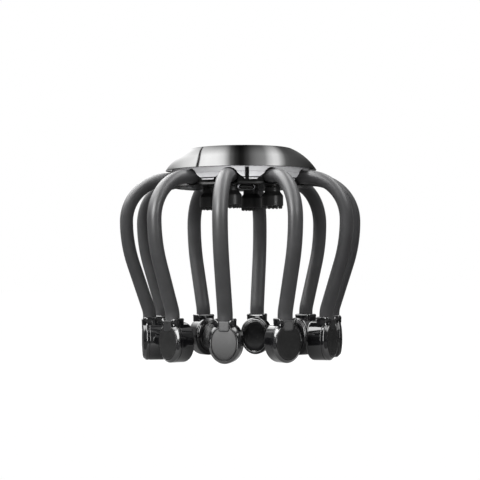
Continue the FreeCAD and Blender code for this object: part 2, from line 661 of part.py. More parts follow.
def charge_socket():
    """The charging socket under the base plate, facing out between the front claws."""
    end = BASE_RADIUS - PORT_INSET
    start = end - PORT_LENGTH
    bottom = BASE_BOTTOM - PORT_HEIGHT
    middle = BASE_BOTTOM - PORT_HEIGHT / 2
    body = block(start, end, PORT_WIDTH, bottom, BASE_BOTTOM)
    lower = [edge for edge in body.Edges
             if edge.BoundBox.XLength > PORT_LENGTH / 2 and edge.BoundBox.ZMax < middle]
    body = body.makeFillet(PORT_CORNER, lower)
    mouth = block(end - PORT_MOUTH_DEPTH, end, PORT_MOUTH_WIDTH,
                  middle - PORT_MOUTH_HEIGHT / 2, middle + PORT_MOUTH_HEIGHT / 2)
    along = [edge for edge in mouth.Edges if edge.BoundBox.XLength > PORT_MOUTH_DEPTH / 2]
    mouth = mouth.makeFillet(PORT_MOUTH_CORNER, along)
    tongue = block(end - PORT_MOUTH_DEPTH, end - PORT_MOUTH_DEPTH + PORT_TONGUE_LENGTH, PORT_TONGUE_WIDTH,
                   middle - PORT_TONGUE_THICKNESS / 2, middle + PORT_TONGUE_THICKNESS / 2)
    return turned(body.cut(mouth).fuse(tongue).removeSplitter(), PORT_ANGLE)


def write(name, shape):
    """Write one piece to its own file."""
    shape.exportStep(os.path.join("parts", name + ".step"))


def main():
    os.makedirs("parts", exist_ok=True)
    write("trim_ring", trim_ring())
    write("top_cover", top_cover())
    write("skirt_ring", skirt_ring())
    write("arm_carrier", arm_carrier())
    write("base_plate", base_plate())
    write("base_screws", Part.makeCompound([turned(base_screw(), angle) for angle in screw_angles()]))
    write("power_button", power_button())
    write("circuit_board", circuit_board())
    write("battery_cell", battery_cell())
    write("drive_motor", drive_motor())
    write("drive_gear", drive_gear())
    write("charge_socket", charge_socket())
    per_claw = {
        "claw_arm": claw_arm(),
        "pod_case": pod_case(),
        "pod_faces": pod_faces(),
        "pod_motor": pod_motor(0),
    }
    for name, shape in per_claw.items():
        for index, copy in enumerate(all_round(shape, ARM_COUNT, ARM_FIRST_ANGLE), start=1):
            write(f"{name}_{index}", copy)
    per_head = {"knead_gear": knead_gear(), "knead_head": knead_head()}
    for name, shape in per_head.items():
        for index, copy in enumerate(all_round(shape, KNEAD_COUNT, KNEAD_FIRST_ANGLE), start=1):
            write(f"{name}_{index}", copy)
    print("claw root radius and height", round(ROOT_RADIUS, 3), round(ROOT_HEIGHT, 3))
    print("pod radius, kneading ring, top", round(POD_RADIUS, 3), KNEAD_RING, round(COVER_TOP, 3))


main()
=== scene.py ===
"""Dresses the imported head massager: smooth pieces, finishes, floor, studio light and camera."""

import json
import logging
import math
from dataclasses import dataclass
from enum import Enum
from typing import Iterable, Sequence

import bmesh
import bpy
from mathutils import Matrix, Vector

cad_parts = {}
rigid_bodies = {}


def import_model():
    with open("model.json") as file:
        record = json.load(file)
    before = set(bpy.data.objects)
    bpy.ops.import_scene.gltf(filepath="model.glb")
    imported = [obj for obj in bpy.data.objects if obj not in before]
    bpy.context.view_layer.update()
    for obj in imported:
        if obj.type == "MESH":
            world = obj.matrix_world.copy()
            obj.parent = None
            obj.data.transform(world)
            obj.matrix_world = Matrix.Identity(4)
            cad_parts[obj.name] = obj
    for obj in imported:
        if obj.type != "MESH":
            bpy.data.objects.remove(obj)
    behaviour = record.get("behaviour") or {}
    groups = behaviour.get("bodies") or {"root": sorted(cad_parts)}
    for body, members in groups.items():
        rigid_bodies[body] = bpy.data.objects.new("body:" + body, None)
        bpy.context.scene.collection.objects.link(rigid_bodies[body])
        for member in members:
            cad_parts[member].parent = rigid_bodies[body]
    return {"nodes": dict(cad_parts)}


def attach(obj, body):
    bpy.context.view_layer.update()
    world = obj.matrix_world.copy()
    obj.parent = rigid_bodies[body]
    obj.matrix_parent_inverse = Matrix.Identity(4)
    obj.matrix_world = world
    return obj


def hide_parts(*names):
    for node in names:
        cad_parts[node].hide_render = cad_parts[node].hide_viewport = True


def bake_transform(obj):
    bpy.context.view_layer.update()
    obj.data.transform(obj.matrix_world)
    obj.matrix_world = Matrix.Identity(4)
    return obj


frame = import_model()
log = logging.getLogger("head_massager")

Tree = bpy.types.NodeTree
Socket = bpy.types.NodeSocket
Piece = bpy.types.Object
Pair = tuple[float, float]
Outline = list[Pair]
Rows = list[list[Vector]]
Place = tuple[float, float, float]

MM = 0.001
MERGE = 1e-7
ARM_COUNT = 10
ARM_FIRST_ANGLE = -10.0
ARM_STEP = 360 / ARM_COUNT


class Slot(Enum):
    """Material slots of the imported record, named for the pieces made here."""

    BAND = "dark_mirror_plating"
    SKIRT = "bright_plating"
    HUB_GLOSS = "hub_gloss"
    SCREW = "screw_steel"
    BUTTON = "button_plastic"
    SOCKET = "socket_shell"
    CLAW = "claw_silicone"
    POD = "pod_gloss"
    POD_FACE = "pod_face_plastic"
    HEAD = "head_silicone"


def linear(colour: str) -> tuple[float, float, float, float]:
    """Turns an sRGB hex colour into linear light.

    Args:
        colour: Six hex digits after a hash sign.

    Returns:
        Linear red, green and blue, and an alpha of one.
    """
    parts = [int(colour[i:i + 2], 16) / 255 for i in (1, 3, 5)]
    red, green, blue = (p / 12.92 if p <= 0.04045 else ((p + 0.055) / 1.055) ** 2.4 for p in parts)
    return red, green, blue, 1.0


def add(tree: Tree, kind: str, inputs: dict | None = None, **settings: object) -> bpy.types.Node:
    """Adds one node with its settings, values and links.

    Args:
        tree: Node tree that gets the node.
        kind: Blender's name of the node type.
        inputs: Value or linked output for each input, by its name or number.
        settings: Attributes of the node.

    Returns:
        The new node.
    """
    node = tree.nodes.new(kind)
    for name, value in settings.items():
        setattr(node, name, value)
    for key, source in (inputs or {}).items():
        if isinstance(source, Socket):
            tree.links.new(source, node.inputs[key])
        else:
            node.inputs[key].default_value = source
    return node


def result(tree: Tree, kind: str, inputs: dict | None = None, **settings: object) -> Socket:
    """Adds one node as above and gives its first output."""
    return add(tree, kind, inputs, **settings).outputs[0]


def compute(tree: Tree, operation: str, *values: object) -> Socket:
    """Adds one maths node on numbers or linked outputs and gives its result."""
    return result(tree, "ShaderNodeMath", dict(enumerate(values)), operation=operation)


def mixed(tree: Tree, factor: Socket, first: object, second: object) -> Socket:
    """Mixes two levels, or two colours if the second is one, and gives the result."""
    kind = "RGBA" if isinstance(second, tuple) else "FLOAT"
    inputs = {"Factor": factor, "A": first, "B": second}
    return add(tree, "ShaderNodeMix", inputs, data_type=kind).outputs["Result"]


def ranged(tree: Tree, value: Socket, start: float, end: float, low: float = 0.0, high: float = 1.0,
           soft: bool = False) -> Socket:
    """Maps a range of a value onto another range.

    Args:
        tree: Node tree that gets the node.
        value: The value.
        start: Where its range starts.
        end: Where its range ends.
        low: Result up to the start.
        high: Result from the end on.
        soft: True if the change eases in and out.

    Returns:
        The result.
    """
    inputs = {"Value": value, "From Min": start, "From Max": end, "To Min": low, "To Max": high}
    return result(tree, "ShaderNodeMapRange", inputs, interpolation_type="SMOOTHSTEP" if soft else "LINEAR")


def pattern(tree: Tree, kind: str, place: Socket, size: float, inputs: dict | None = None,
            **settings: object) -> Socket:
    """Adds a texture whose features are that many millimetres wide and gives its first output."""
    return result(tree, kind, {"Vector": place, "Scale": 1 / (size * MM), **(inputs or {})}, **settings)


@dataclass(frozen=True)
class Finish:
    """A surface of the massager, from what it is made of and how it was made.

    Attributes:
        name: Name of the material.
        colour: Main colour, sRGB hex.
        worn: Colour that it drifts to in soft patches.
        roughness: Middle of the roughness range.
        spread: How far the roughness wanders to each side.
        patch: Width in millimetres of those patches.
        grain: Width in millimetres of the surface grain.
        depth: Height in millimetres of that grain.
        metallic: One for metal, zero for plastic.
        specular: Strength of the plain reflection.
        edge: Tint of the reflection at a glancing look, sRGB hex.
    """

    name: str
    colour: str
    worn: str
    roughness: float
    spread: float
    patch: float
    grain: float
    depth: float
    metallic: float = 0.0
    specular: float = 0.5
    edge: str = "#ffffff"

    def material(self) -> bpy.types.Material:
        """Makes the material on first use.

        Returns:
            The material of this finish.
        """
        made = bpy.data.materials.get(self.name)
        if made:
            return made
        made = bpy.data.materials.new(self.name)
        made.use_nodes = True
        made.diffuse_color = linear(self.colour)
        tree = made.node_tree
        tree.nodes.clear()
        colour, rough, height = self.texture(tree, add(tree, "ShaderNodeTexCoord").outputs["Object"])
        bump = result(tree, "ShaderNodeBump", {"Distance": self.depth * MM, "Height": height})
        shader = result(tree, "ShaderNodeBsdfPrincipled", {
            "Base Color": colour,
            "Roughness": rough,
            "Normal": bump,
            "Metallic": self.metallic,
            "Specular IOR Level": self.specular,
            "Specular Tint": linear(self.edge),
        })
        add(tree, "ShaderNodeOutputMaterial", {"Surface": shader})
        return made

    def texture(self, tree: Tree, place: Socket) -> tuple[Socket, Socket, Socket]:
        """Adds the patches and the grain that every finish has.

        Args:
            tree: Node tree of the material.
            place: Object coordinates.

        Returns:
            Outputs for the colour, the roughness and the height.
        """
        patches = pattern(tree, "ShaderNodeTexNoise", place, self.patch, {"Detail": 4.0, "Roughness": 0.6})
        grain = pattern(tree, "ShaderNodeTexNoise", place, self.grain, {"Detail": 2.0})
        drift = ranged(tree, patches, 0.4, 0.75)
        colour = mixed(tree, drift, linear(self.colour), linear(self.worn))
        smooth, coarse = self.roughness - self.spread, self.roughness + self.spread
        return colour, ranged(tree, patches, 0.3, 0.7, smooth, coarse), grain


@dataclass(frozen=True)
class Dusted(Finish):
    """A dark surface that fine dust settles on.

    Attributes:
        speck: Distance in millimetres between the specks.
        dust: Colour of a speck, sRGB hex.
    """

    speck: float = 2.4
    dust: str = "#5a5a5a"

    def texture(self, tree: Tree, place: Socket) -> tuple[Socket, Socket, Socket]:
        """Adds sparse pale specks to what every finish has."""
        colour, rough, height = super().texture(tree, place)
        near = pattern(tree, "ShaderNodeTexVoronoi", place, self.speck)
        specks = ranged(tree, near, 0.03, 0.075, 0.35, 0.0)
        return mixed(tree, specks, colour, linear(self.dust)), rough, height


@dataclass(frozen=True)
class Drawn(Finish):
    """A metal with fine lines from rolling, drawing or turning.

    Attributes:
        stretch: How much longer than wide the lines are, along X, Y and Z.
    """

    stretch: Place = (1.0, 1.0, 12.0)

    def texture(self, tree: Tree, place: Socket) -> tuple[Socket, Socket, Socket]:
        """Adds stretched lines in place of the round grain."""
        colour, rough, _ = super().texture(tree, place)
        squeeze = tuple(1 / length for length in self.stretch)
        along = result(tree, "ShaderNodeMapping", {"Vector": place, "Scale": squeeze})
        return colour, rough, pattern(tree, "ShaderNodeTexNoise", along, self.grain, {"Detail": 3.0})


@dataclass(frozen=True)
class Laminate(Finish):
    """A printed circuit laminate with copper tracks under its solder mask.

    Attributes:
        track: Distance in millimetres between the tracks.
        copper: Colour of the mask over copper, sRGB hex.
    """

    track: float = 1.6
    copper: str = "#3f8a5a"

    def texture(self, tree: Tree, place: Socket) -> tuple[Socket, Socket, Socket]:
        """Adds straight tracks that show lighter and stand a little proud."""
        colour, rough, _ = super().texture(tree, place)
        cells = pattern(tree, "ShaderNodeTexVoronoi", place, self.track, feature="F1", distance="MANHATTAN")
        tracks = ranged(tree, cells, 0.42, 0.5)
        return mixed(tree, tracks, colour, linear(self.copper)), rough, tracks


# Dark chrome on ABS: a deep mirror that still shows the slow waves of the moulding under it.
BAND_MIRROR = Finish("dark_chrome_on_moulded_abs", "#4a4a4a", "#4d4d4d", 0.06, 0.02, 14.0, 9.0, 0.004,
                     metallic=1.0, edge="#cbcbcb")
# Silver paint on ABS: a pale soft sheen with the grain of the blasted tool.
SKIRT_SATIN = Finish("silver_paint_on_moulded_abs", "#c8c8ca", "#bebec0", 0.4, 0.05, 6.0, 0.5, 0.012,
                     metallic=0.3)
# Polished ABS: near black, a clear reflection, a trace of orange peel and settled dust.
HUB_BLACK = Dusted("polished_black_abs", "#0f0f10", "#141415", 0.16, 0.04, 9.0, 2.5, 0.006, specular=0.24)
POD_BLACK = Dusted("polished_black_abs_pod", "#070708", "#0b0b0c", 0.07, 0.03, 6.0, 2.2, 0.005, specular=0.6)
PAD_BLACK = Dusted("polished_black_abs_pad", "#0b0b0c", "#101011", 0.1, 0.03, 5.0, 2.0, 0.004)
# Spark-eroded ABS moulding: matte black with an even pitted grain.
FRAME_BLACK = Finish("spark_textured_black_abs", "#0b0b0b", "#101010", 0.4, 0.08, 4.0, 0.35, 0.02,
                     specular=0.3)
# Satin ABS: the outer plates, softly reflective so that they catch the panel before them as one even tone.
PLATE_SATIN = Dusted("satin_dark_abs", "#181818", "#1d1d1d", 0.24, 0.03, 5.0, 0.4, 0.004, specular=0.18)
# The tab is the same plastic with a coarser blast, which widens its sheen.
TAB_SATIN = Dusted("blasted_dark_abs", "#1e1e1e", "#242425", 0.28, 0.04, 5.0, 0.4, 0.006, specular=0.18)
# Platinum-cured silicone: matte grey-black with a fine moulded skin and a soft sheen that picks up lint.
CLAW_SOFT = Dusted("matte_grey_silicone", "#3e3e3f", "#454546", 0.42, 0.04, 11.0, 0.45, 0.008, specular=0.42)
HEAD_SOFT = Dusted("matte_black_silicone", "#232323", "#2b2b2b", 0.36, 0.06, 3.5, 0.4, 0.02)
# Satin ABS from a turned tool: the push button.
BUTTON_SATIN = Finish("turned_satin_black_abs", "#141415", "#1a1a1b", 0.32, 0.05, 3.0, 0.3, 0.01)
# Zinc-plated and drawn steel: cool grey with lines along the draw. The socket's shell is blackened.
SCREW_METAL = Drawn("zinc_plated_steel", "#9a9b9d", "#86878a", 0.3, 0.06, 1.2, 0.25, 0.01, metallic=1.0)
MOTOR_METAL = Drawn("drawn_steel_can", "#b4b5b8", "#a3a4a8", 0.28, 0.06, 5.0, 0.3, 0.01, metallic=1.0)
SOCKET_METAL = Drawn("blackened_stainless_shell", "#5a5a5c", "#4e4e50", 0.22, 0.05, 2.0, 0.25, 0.008,
                     metallic=1.0, stretch=(6.0, 6.0, 1.0))
# Polyacetal, moulded: warm white, slightly waxy.
GEAR_WAXY = Finish("moulded_natural_acetal", "#dcd9d0", "#d2cec3", 0.42, 0.06, 3.0, 0.4, 0.01)
# Solder mask on glass laminate, and the crimped aluminium foil of a pouch cell.
BOARD_MASK = Laminate("green_solder_mask", "#1f5a38", "#1a4d30", 0.4, 0.05, 4.0, 0.5, 0.04)
CELL_FOIL = Finish("crimped_pouch_foil", "#c8cacd", "#bcbec2", 0.3, 0.08, 5.0, 2.2, 0.15, metallic=0.6)

CAD_FINISHES: dict[str, Finish] = {
    "arm_carrier": FRAME_BLACK,
    "base_plate": HUB_BLACK,
    "circuit_board": BOARD_MASK,
    "battery_cell": CELL_FOIL,
    "drive_motor": MOTOR_METAL,
    "drive_gear": GEAR_WAXY,
    "knead_gear": GEAR_WAXY,
    "pod_motor": MOTOR_METAL,
}


def arm_angle(number: int) -> float:
    """Degrees round the axis of a claw, counted from one."""
    return ARM_FIRST_ANGLE + ARM_STEP * (number - 1)


def spot(radius: float, height: float, angle: float, across: float = 0.0) -> Vector:
    """A place on the massager.

    Args:
        radius: Millimetres out from the hub's axis.
        height: Millimetres above the floor.
        angle: Degrees round the axis from the front, growing towards +X.
        across: Millimetres sideways from there.

    Returns:
        The place in metres.
    """
    turn = math.radians(angle)
    away = Vector((math.sin(turn), -math.cos(turn), 0.0))
    side = Vector((math.cos(turn), math.sin(turn), 0.0))
    return (away * radius + side * across + Vector((0.0, 0.0, height))) * MM


def arc(centre: Pair, radius: float, start: float, end: float, steps: int) -> Outline:
    """Points along an arc in a plane, both ends included; angles in degrees."""
    turns = [math.radians(start + (end - start) * i / steps) for i in range(steps + 1)]
    return [(centre[0] + radius * math.cos(t), centre[1] + radius * math.sin(t)) for t in turns]


def eased(corners: Iterable[Place], steps: int = 5) -> Outline:
    """Rounds the corners of a closed outline.

    Args:
        corners: Two coordinates and the rounding radius of each corner.
        steps: Pieces that each rounding is made of.

    Returns:
        Points of the rounded outline.
    """
    given = list(corners)
    straight = 1.5
    outline: Outline = []
    for index, (x, y, radius) in enumerate(given):
        here = Vector((x, y))
        back = (Vector(given[index - 1][:2]) - here).normalized()
        on = (Vector(given[(index + 1) % len(given)][:2]) - here).normalized()
        half = back.angle(on) / 2
        if radius == 0 or half > straight:
            outline.append((x, y))
            continue
        centre = here + (back + on).normalized() * (radius / math.sin(half))
        first = (here + back * (radius / math.tan(half)) - centre).normalized()
        last = (here + on * (radius / math.tan(half)) - centre).normalized()
        outline += [tuple(centre + first.slerp(last, i / steps) * radius) for i in range(steps + 1)]
    return outline


def placed(name: str, mesh: bpy.types.Mesh) -> Piece:
    """Puts a mesh into the scene as an object at the origin."""
    made = bpy.data.objects.new(name, mesh)
    bpy.context.scene.collection.objects.link(made)
    return made


def add_skin(shape: bmesh.types.BMesh, rows: Sequence[Sequence[Vector]], looped: bool = False) -> None:
    """Joins rings of points into one closed skin.

    Args:
        shape: Geometry that gets the skin.
        rows: Rings of points, all of one length, from one end of the skin to the other.
        looped: True if the last ring joins the first, as on a hoop.
    """
    rings = [[shape.verts.new(point) for point in row] for row in rows]
    count = len(rings[0])
    faces = []
    for ring, after in zip(rings, rings[1:] + rings[:1] if looped else rings[1:]):
        for i in range(count):
            j = (i + 1) % count
            faces.append(shape.faces.new((ring[i], ring[j], after[j], after[i])))
    if not looped:
        faces += [shape.faces.new(rings[0][::-1]), shape.faces.new(rings[-1])]
    bmesh.ops.remove_doubles(shape, verts=[vert for ring in rings for vert in ring], dist=MERGE)
    bmesh.ops.recalc_face_normals(shape, faces=[face for face in faces if face.is_valid])


def piece_of(name: str, shape: bmesh.types.BMesh, finish: Finish, crisp: float = 35.0) -> Piece:
    """Makes an object from a finished shape.

    Args:
        name: Name of the piece.
        shape: Its geometry, freed here.
        finish: Its finish.
        crisp: Angle in degrees above which an edge stays sharp.

    Returns:
        The new object.
    """
    mesh = bpy.data.meshes.new(name)
    shape.to_mesh(mesh)
    shape.free()
    mesh.materials.append(finish.material())
    mesh.shade_smooth()
    mesh.set_sharp_from_angle(angle=math.radians(crisp))
    return placed(name, mesh)


def skinned(name: str, finish: Finish, *skins: Rows, looped: bool = False, crisp: float = 35.0) -> Piece:
    """Makes an object from one or more skins.

    Args:
        name: Name of the piece.
        finish: Its finish.
        skins: Rings of points of each skin.
        looped: True if each skin joins its last ring to its first.
        crisp: Angle in degrees above which an edge stays sharp.

    Returns:
        The new object.
    """
    shape = bmesh.new()
    for rows in skins:
        add_skin(shape, rows, looped)
    return piece_of(name, shape, finish, crisp)


def turned_rows(outline: Outline, centre: Vector | None = None, count: int = 192) -> Rows:
    """Rings of points for a turned piece.

    Args:
        outline: Radius and height of each ring in millimetres.
        centre: Place of the piece's own axis, the hub's axis if left out.
        count: Points in each ring.

    Returns:
        One ring for each point of the outline.
    """
    middle = centre or Vector((0.0, 0.0, 0.0))
    return [[spot(radius, height, 360 * i / count) + middle for i in range(count)]
            for radius, height in outline]


def evaluated_mesh(made: Piece) -> bpy.types.Mesh:
    """The mesh of an object with its modifiers applied."""
    graph = bpy.context.evaluated_depsgraph_get()
    return bpy.data.meshes.new_from_object(made.evaluated_get(graph), depsgraph=graph)


def seat(made: Piece, body: str, slot: Slot, *nodes: str) -> None:
    """Puts a piece on its body in place of CAD nodes, and reports it.

    Args:
        made: The piece.
        body: CAD body that it moves with.
        slot: Record slot that its finish follows; not used.
        nodes: CAD nodes that it stands for.
    """
    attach(made, body)
    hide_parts(*nodes)
    log.info("%s rides %s, %d faces", made.name, body, len(made.data.polygons))


class NodeShape:
    """A Geometry Nodes tree with named inputs, turned into plain meshes."""

    def __init__(self, name: str, *, floats: str = "", numbers: str = "", vectors: str = "") -> None:
        """Starts the tree.

        Args:
            name: Name of the tree.
            floats: Names of the inputs that are lengths, with commas between them.
            numbers: Names of those that are whole numbers.
            vectors: Names of those that are vectors.
        """
        self.tree = bpy.data.node_groups.new(name, "GeometryNodeTree")
        face = self.tree.interface
        face.new_socket(name="Geometry", in_out="INPUT", socket_type="NodeSocketGeometry")
        self.keys: dict[str, str] = {}
        for kind, labels in (("Float", floats), ("Int", numbers), ("Vector", vectors)):
            for label in filter(None, labels.split(", ")):
                made = face.new_socket(name=label, in_out="INPUT", socket_type=f"NodeSocket{kind}")
                self.keys[label] = made.identifier
        face.new_socket(name="Geometry", in_out="OUTPUT", socket_type="NodeSocketGeometry")
        self.given = add(self.tree, "NodeGroupInput").outputs

    def spread(self, shape: Socket, points: Socket) -> Socket:
        """Sets copies of a shape on points."""
        return result(self.tree, "GeometryNodeInstanceOnPoints", {"Points": points, "Instance": shape})

    def moved(self, shape: Socket, **transform: object) -> Socket:
        """Moves, turns or scales a shape."""
        inputs = {name.capitalize(): value for name, value in transform.items()}
        return result(self.tree, "GeometryNodeTransform", {"Geometry": shape, **inputs})

    def lowered(self, shape: Socket, height: Socket, share: float, **transform: object) -> Socket:
        """Moves a shape down by a share of a height, and turns or scales it."""
        drop = compute(self.tree, "MULTIPLY", height, -share)
        down = result(self.tree, "ShaderNodeCombineXYZ", {2: drop})
        return self.moved(shape, translation=down, **transform)

    def end(self, shape: Socket, finish: Finish) -> None:
        """Closes the tree with real geometry, smooth faces and a material."""
        real = result(self.tree, "GeometryNodeRealizeInstances", {"Geometry": shape})
        smooth = result(self.tree, "GeometryNodeSetShadeSmooth", {"Geometry": real})
        dressed = {"Geometry": smooth, "Material": finish.material()}
        add(self.tree, "NodeGroupOutput", {0: result(self.tree, "GeometryNodeSetMaterial", dressed)})

    def bake(self, name: str, points: Sequence[Vector], values: dict[str, object],
             joined: bool = False) -> Piece:
        """Runs the tree on a few points and keeps the result as a plain mesh.

        Args:
            name: Name of the piece.
            points: Points that the tree starts from.
            values: Value of each named input.
            joined: True if the points are joined into a line.

        Returns:
            The new object, at the origin and without modifiers.
        """
        seed = bpy.data.meshes.new(name + "_seed")
        edges = [(i, i + 1) for i in range(len(points) - 1)] if joined else []
        seed.from_pydata(points, edges, [])
        holder = placed(name + "_seed", seed)
        modifier = holder.modifiers.new("shape", "NODES")
        modifier.node_group = self.tree
        for label, value in values.items():
            modifier[self.keys[label]] = value
        mesh = evaluated_mesh(holder)
        mesh.name = name
        bpy.data.objects.remove(holder)
        bpy.data.meshes.remove(seed)
        return placed(name, mesh)


@dataclass
class Hub:
    """The round hub: mirror band, notched skirt, cover, button, screws and socket. Millimetres."""

    rim_radius: float = 47.23
    rim_height: float = 117.19
    top_radius: float = 31.2
    top_height: float = 130.79
    bulge: float = 1.6
    band_steps: int = 28
    edge_round: float = 0.35
    ledge_width: float = 1.5
    ledge_height: float = 1.0
    step_width: float = 1.1
    seat_gap: float = 0.1
    cover_radius: float = 29.6
    cover_bottom: float = 128.69
    skirt_radius: float = 43.03
    skirt_inner: float = 41.43
    skirt_bottom: float = 109.39
    skirt_top: float = 118.89
    skirt_ease: float = 0.18
    root_height: float = 111.59
    notch_width: float = 11.2
    notch_height: float = 10.2
    flare: float = 4.6
    flare_top: float = 112.99
    line_height: float = 114.19
    line_depth: float = 0.3
    groove_bottom: float = 110.29
    groove_top: float = 110.99
    groove_depth: float = 0.6
    slit_angle: float = 4.8
    slit_width: float = 2.4
    slit_reach: Pair = (39.0, 46.0)
    slit_ends: Pair = (108.89, 116.84)
    base_bottom: float = 106.59
    button_radius: float = 7.0
    button_bottom: float = 127.59
    button_top: float = 130.59
    button_gap: float = 0.3
    flange_width: float = 1.2
    flange_height: float = 0.8
    dish_radius: float = 5.6
    dish_depth: float = 0.26
    dish_steps: int = 8
    screw_ring: float = 35.555
    screw_angles: tuple[float, ...] = (44.0, 116.0, 224.0, 296.0)
    screw_head: Pair = (1.9, 1.0)
    screw_recess: Place = (2.0, 0.45, 1.0)
    socket_middle: float = 104.99
    mouth_shade_half: Pair = (4.6, 1.25)
    tongue_half: Pair = (3.3, 0.35)
    tongue_reach: Pair = (31.9, 36.43)

    def band_outline(self) -> Outline:
        """The bulged outer line of the band between its rim and its crest."""
        rim = Vector((self.rim_radius, self.rim_height))
        chord = Vector((self.top_radius, self.top_height)) - rim
        away = Vector((chord.y, -chord.x)).normalized()
        shares = [i / self.band_steps for i in range(1, self.band_steps)]
        return [tuple(rim + chord * share + away * (4 * self.bulge * share * (1 - share)))
                for share in shares]

    def build_band(self) -> Piece:
        """Builds the sloping mirror band.

        Returns:
            The piece that stands for the trim ring.
        """
        lower = self.skirt_radius + self.seat_gap
        inner = self.cover_radius + self.seat_gap
        ledge = inner - self.ledge_width
        step = self.skirt_top + self.seat_gap
        outline = [(lower, self.rim_height), (self.rim_radius - self.edge_round, self.rim_height),
                   (self.rim_radius - 0.08, self.rim_height + 0.06)]
        outline += self.band_outline()
        outline += [(self.top_radius - 0.05, self.top_height - 0.07),
                    (self.top_radius - self.edge_round, self.top_height),
                    (inner, self.top_height), (inner, self.cover_bottom),
                    (ledge, self.cover_bottom), (ledge, self.cover_bottom - self.ledge_height),
                    (lower - self.step_width, step), (lower, step)]
        return skinned("mirror_band", BAND_MIRROR, turned_rows(outline, count=320), looped=True, crisp=28.0)

    def notch_floor(self, across: float) -> float:
        """Height of the skirt's lower edge at a distance across from a claw's middle."""
        half = self.notch_width / 2
        off = abs(across)
        flare = self.flare_top - (off - half) * (self.flare_top - self.skirt_bottom) / self.flare
        floor = max(self.skirt_bottom, min(flare, self.flare_top))
        if off < half:
            arch = self.root_height + self.notch_height / 2 * math.sqrt(1 - (off / half) ** 2)
            floor = max(floor, arch)
        return floor

    def skirt_columns(self) -> Outline:
        """Angle and distance from the nearest claw of each column of the skirt."""
        half_gap = math.tan(math.radians(ARM_STEP / 2)) * self.skirt_radius
        flare_end = self.notch_width / 2 + self.flare
        offsets = [0.0, 1.0, 2.0, 2.9, 3.7, 4.3, 4.7, 5.0, 5.2, 5.35, 5.4, 5.6, 6.3, 7.0, 7.8, 8.6, 9.4]
        offsets += [flare_end + (half_gap - flare_end) * i / 3 for i in range(3)]
        sides = [-off for off in reversed(offsets)][:-1] + offsets + [half_gap]
        return [(arm_angle(number) + math.degrees(math.atan2(off, self.skirt_radius)), off)
                for number in range(1, ARM_COUNT + 1) for off in sides]

    def skirt_wall(self, height: float) -> float:
        """Outer radius of the skirt at a height, with the fine line and the groove sunk in."""
        if self.groove_bottom < height < self.groove_top:
            return self.skirt_radius - self.groove_depth
        off = abs(height - self.line_height)
        return self.skirt_radius - max(0.0, self.line_depth - off)

    def build_skirt(self) -> Piece:
        """Builds the pale skirt with its flared notches, fine line, groove painted black as shade, and slit.

        Returns:
            The piece that stands for the skirt ring.
        """
        line, deep = self.line_height, self.line_depth
        heights = [self.skirt_bottom, self.skirt_bottom + 0.25, self.groove_bottom, self.groove_bottom + 0.02,
                   self.groove_top - 0.02, self.groove_top, 112.0, 113.2]
        heights += [line - deep, line - deep / 2, line, line + deep / 2, line + deep]
        heights += [115.0, 115.8, 116.7, 117.6, self.skirt_top]
        columns = self.skirt_columns()
        rows = []
        for height in heights:
            ease = self.skirt_ease if height == self.skirt_bottom else 0.0
            levels = [max(height, self.notch_floor(off)) for _, off in columns]
            rows.append([spot(self.skirt_wall(level) - ease, level, angle)
                         for level, (angle, _) in zip(levels, columns)])
        rows += [[spot(self.skirt_inner, max(height, self.notch_floor(off)), angle) for angle, off in columns]
                 for height in (self.skirt_top, self.skirt_bottom)]
        shape = bmesh.new()
        add_skin(shape, rows, looped=True)
        bmesh.ops.dissolve_degenerate(shape, dist=MERGE, edges=shape.edges[:])
        made = piece_of("notched_skirt", shape, SKIRT_SATIN, 40.0)
        self.cut_slit(made)
        made.data.materials.append(FRAME_BLACK.material())
        # The groove's floor and the skirt's underside are painted black: painted shade in the groove and
        # under the skirt.
        for face in made.data.polygons:
            low = self.skirt_bottom - 0.01 < face.center.z / MM < self.groove_top + 0.01
            if low and face.center.xy.length / MM < self.skirt_radius - 0.2:
                face.material_index = 1
        return made

    def cut_slit(self, made: Piece) -> None:
        """Cuts the upright slit through the front of the skirt."""
        half = self.slit_width / 2
        near, far = self.slit_reach
        ends = [[spot(radius, height, self.slit_angle, across)
                 for radius, across in ((near, -half), (far, -half), (far, half), (near, half))]
                for height in self.slit_ends]
        cutter = skinned("slit_cutter", SKIRT_SATIN, ends)
        modifier = made.modifiers.new("slit", "BOOLEAN")
        modifier.object = cutter
        modifier.solver = "EXACT"
        cut = evaluated_mesh(made)
        made.modifiers.remove(modifier)
        made.data = cut
        bpy.data.objects.remove(cutter)

    def build_cover(self) -> Piece:
        """Builds the flat top cover with its rounded edges and the button's hole.

        Returns:
            The piece that stands for the top cover.
        """
        hole = self.button_radius + self.button_gap
        outline = eased([(hole, self.cover_bottom, 0.0), (self.cover_radius, self.cover_bottom, 0.0),
                         (self.cover_radius, self.top_height, self.edge_round), (hole, self.top_height, 0.3)])
        return skinned("gloss_cover", HUB_BLACK, turned_rows(outline), looped=True)

    def build_button(self) -> Piece:
        """Builds the dished push button.

        Returns:
            The piece that stands for the power button.
        """
        radius, flange = self.button_radius, self.button_radius + self.flange_width
        low, top = self.button_bottom, self.button_top
        shares = [1 - i / self.dish_steps for i in range(self.dish_steps + 1)]
        outline = [(0.0, low), (flange, low), (flange, low + self.flange_height),
                   (radius, low + self.flange_height), (radius, top - 0.3),
                   (radius - 0.09, top - 0.09), (radius - 0.3, top)]
        outline += [(self.dish_radius * share, top - self.dish_depth * (1 - share ** 2)) for share in shares]
        return skinned("dished_button", BUTTON_SATIN, turned_rows(outline, count=96))

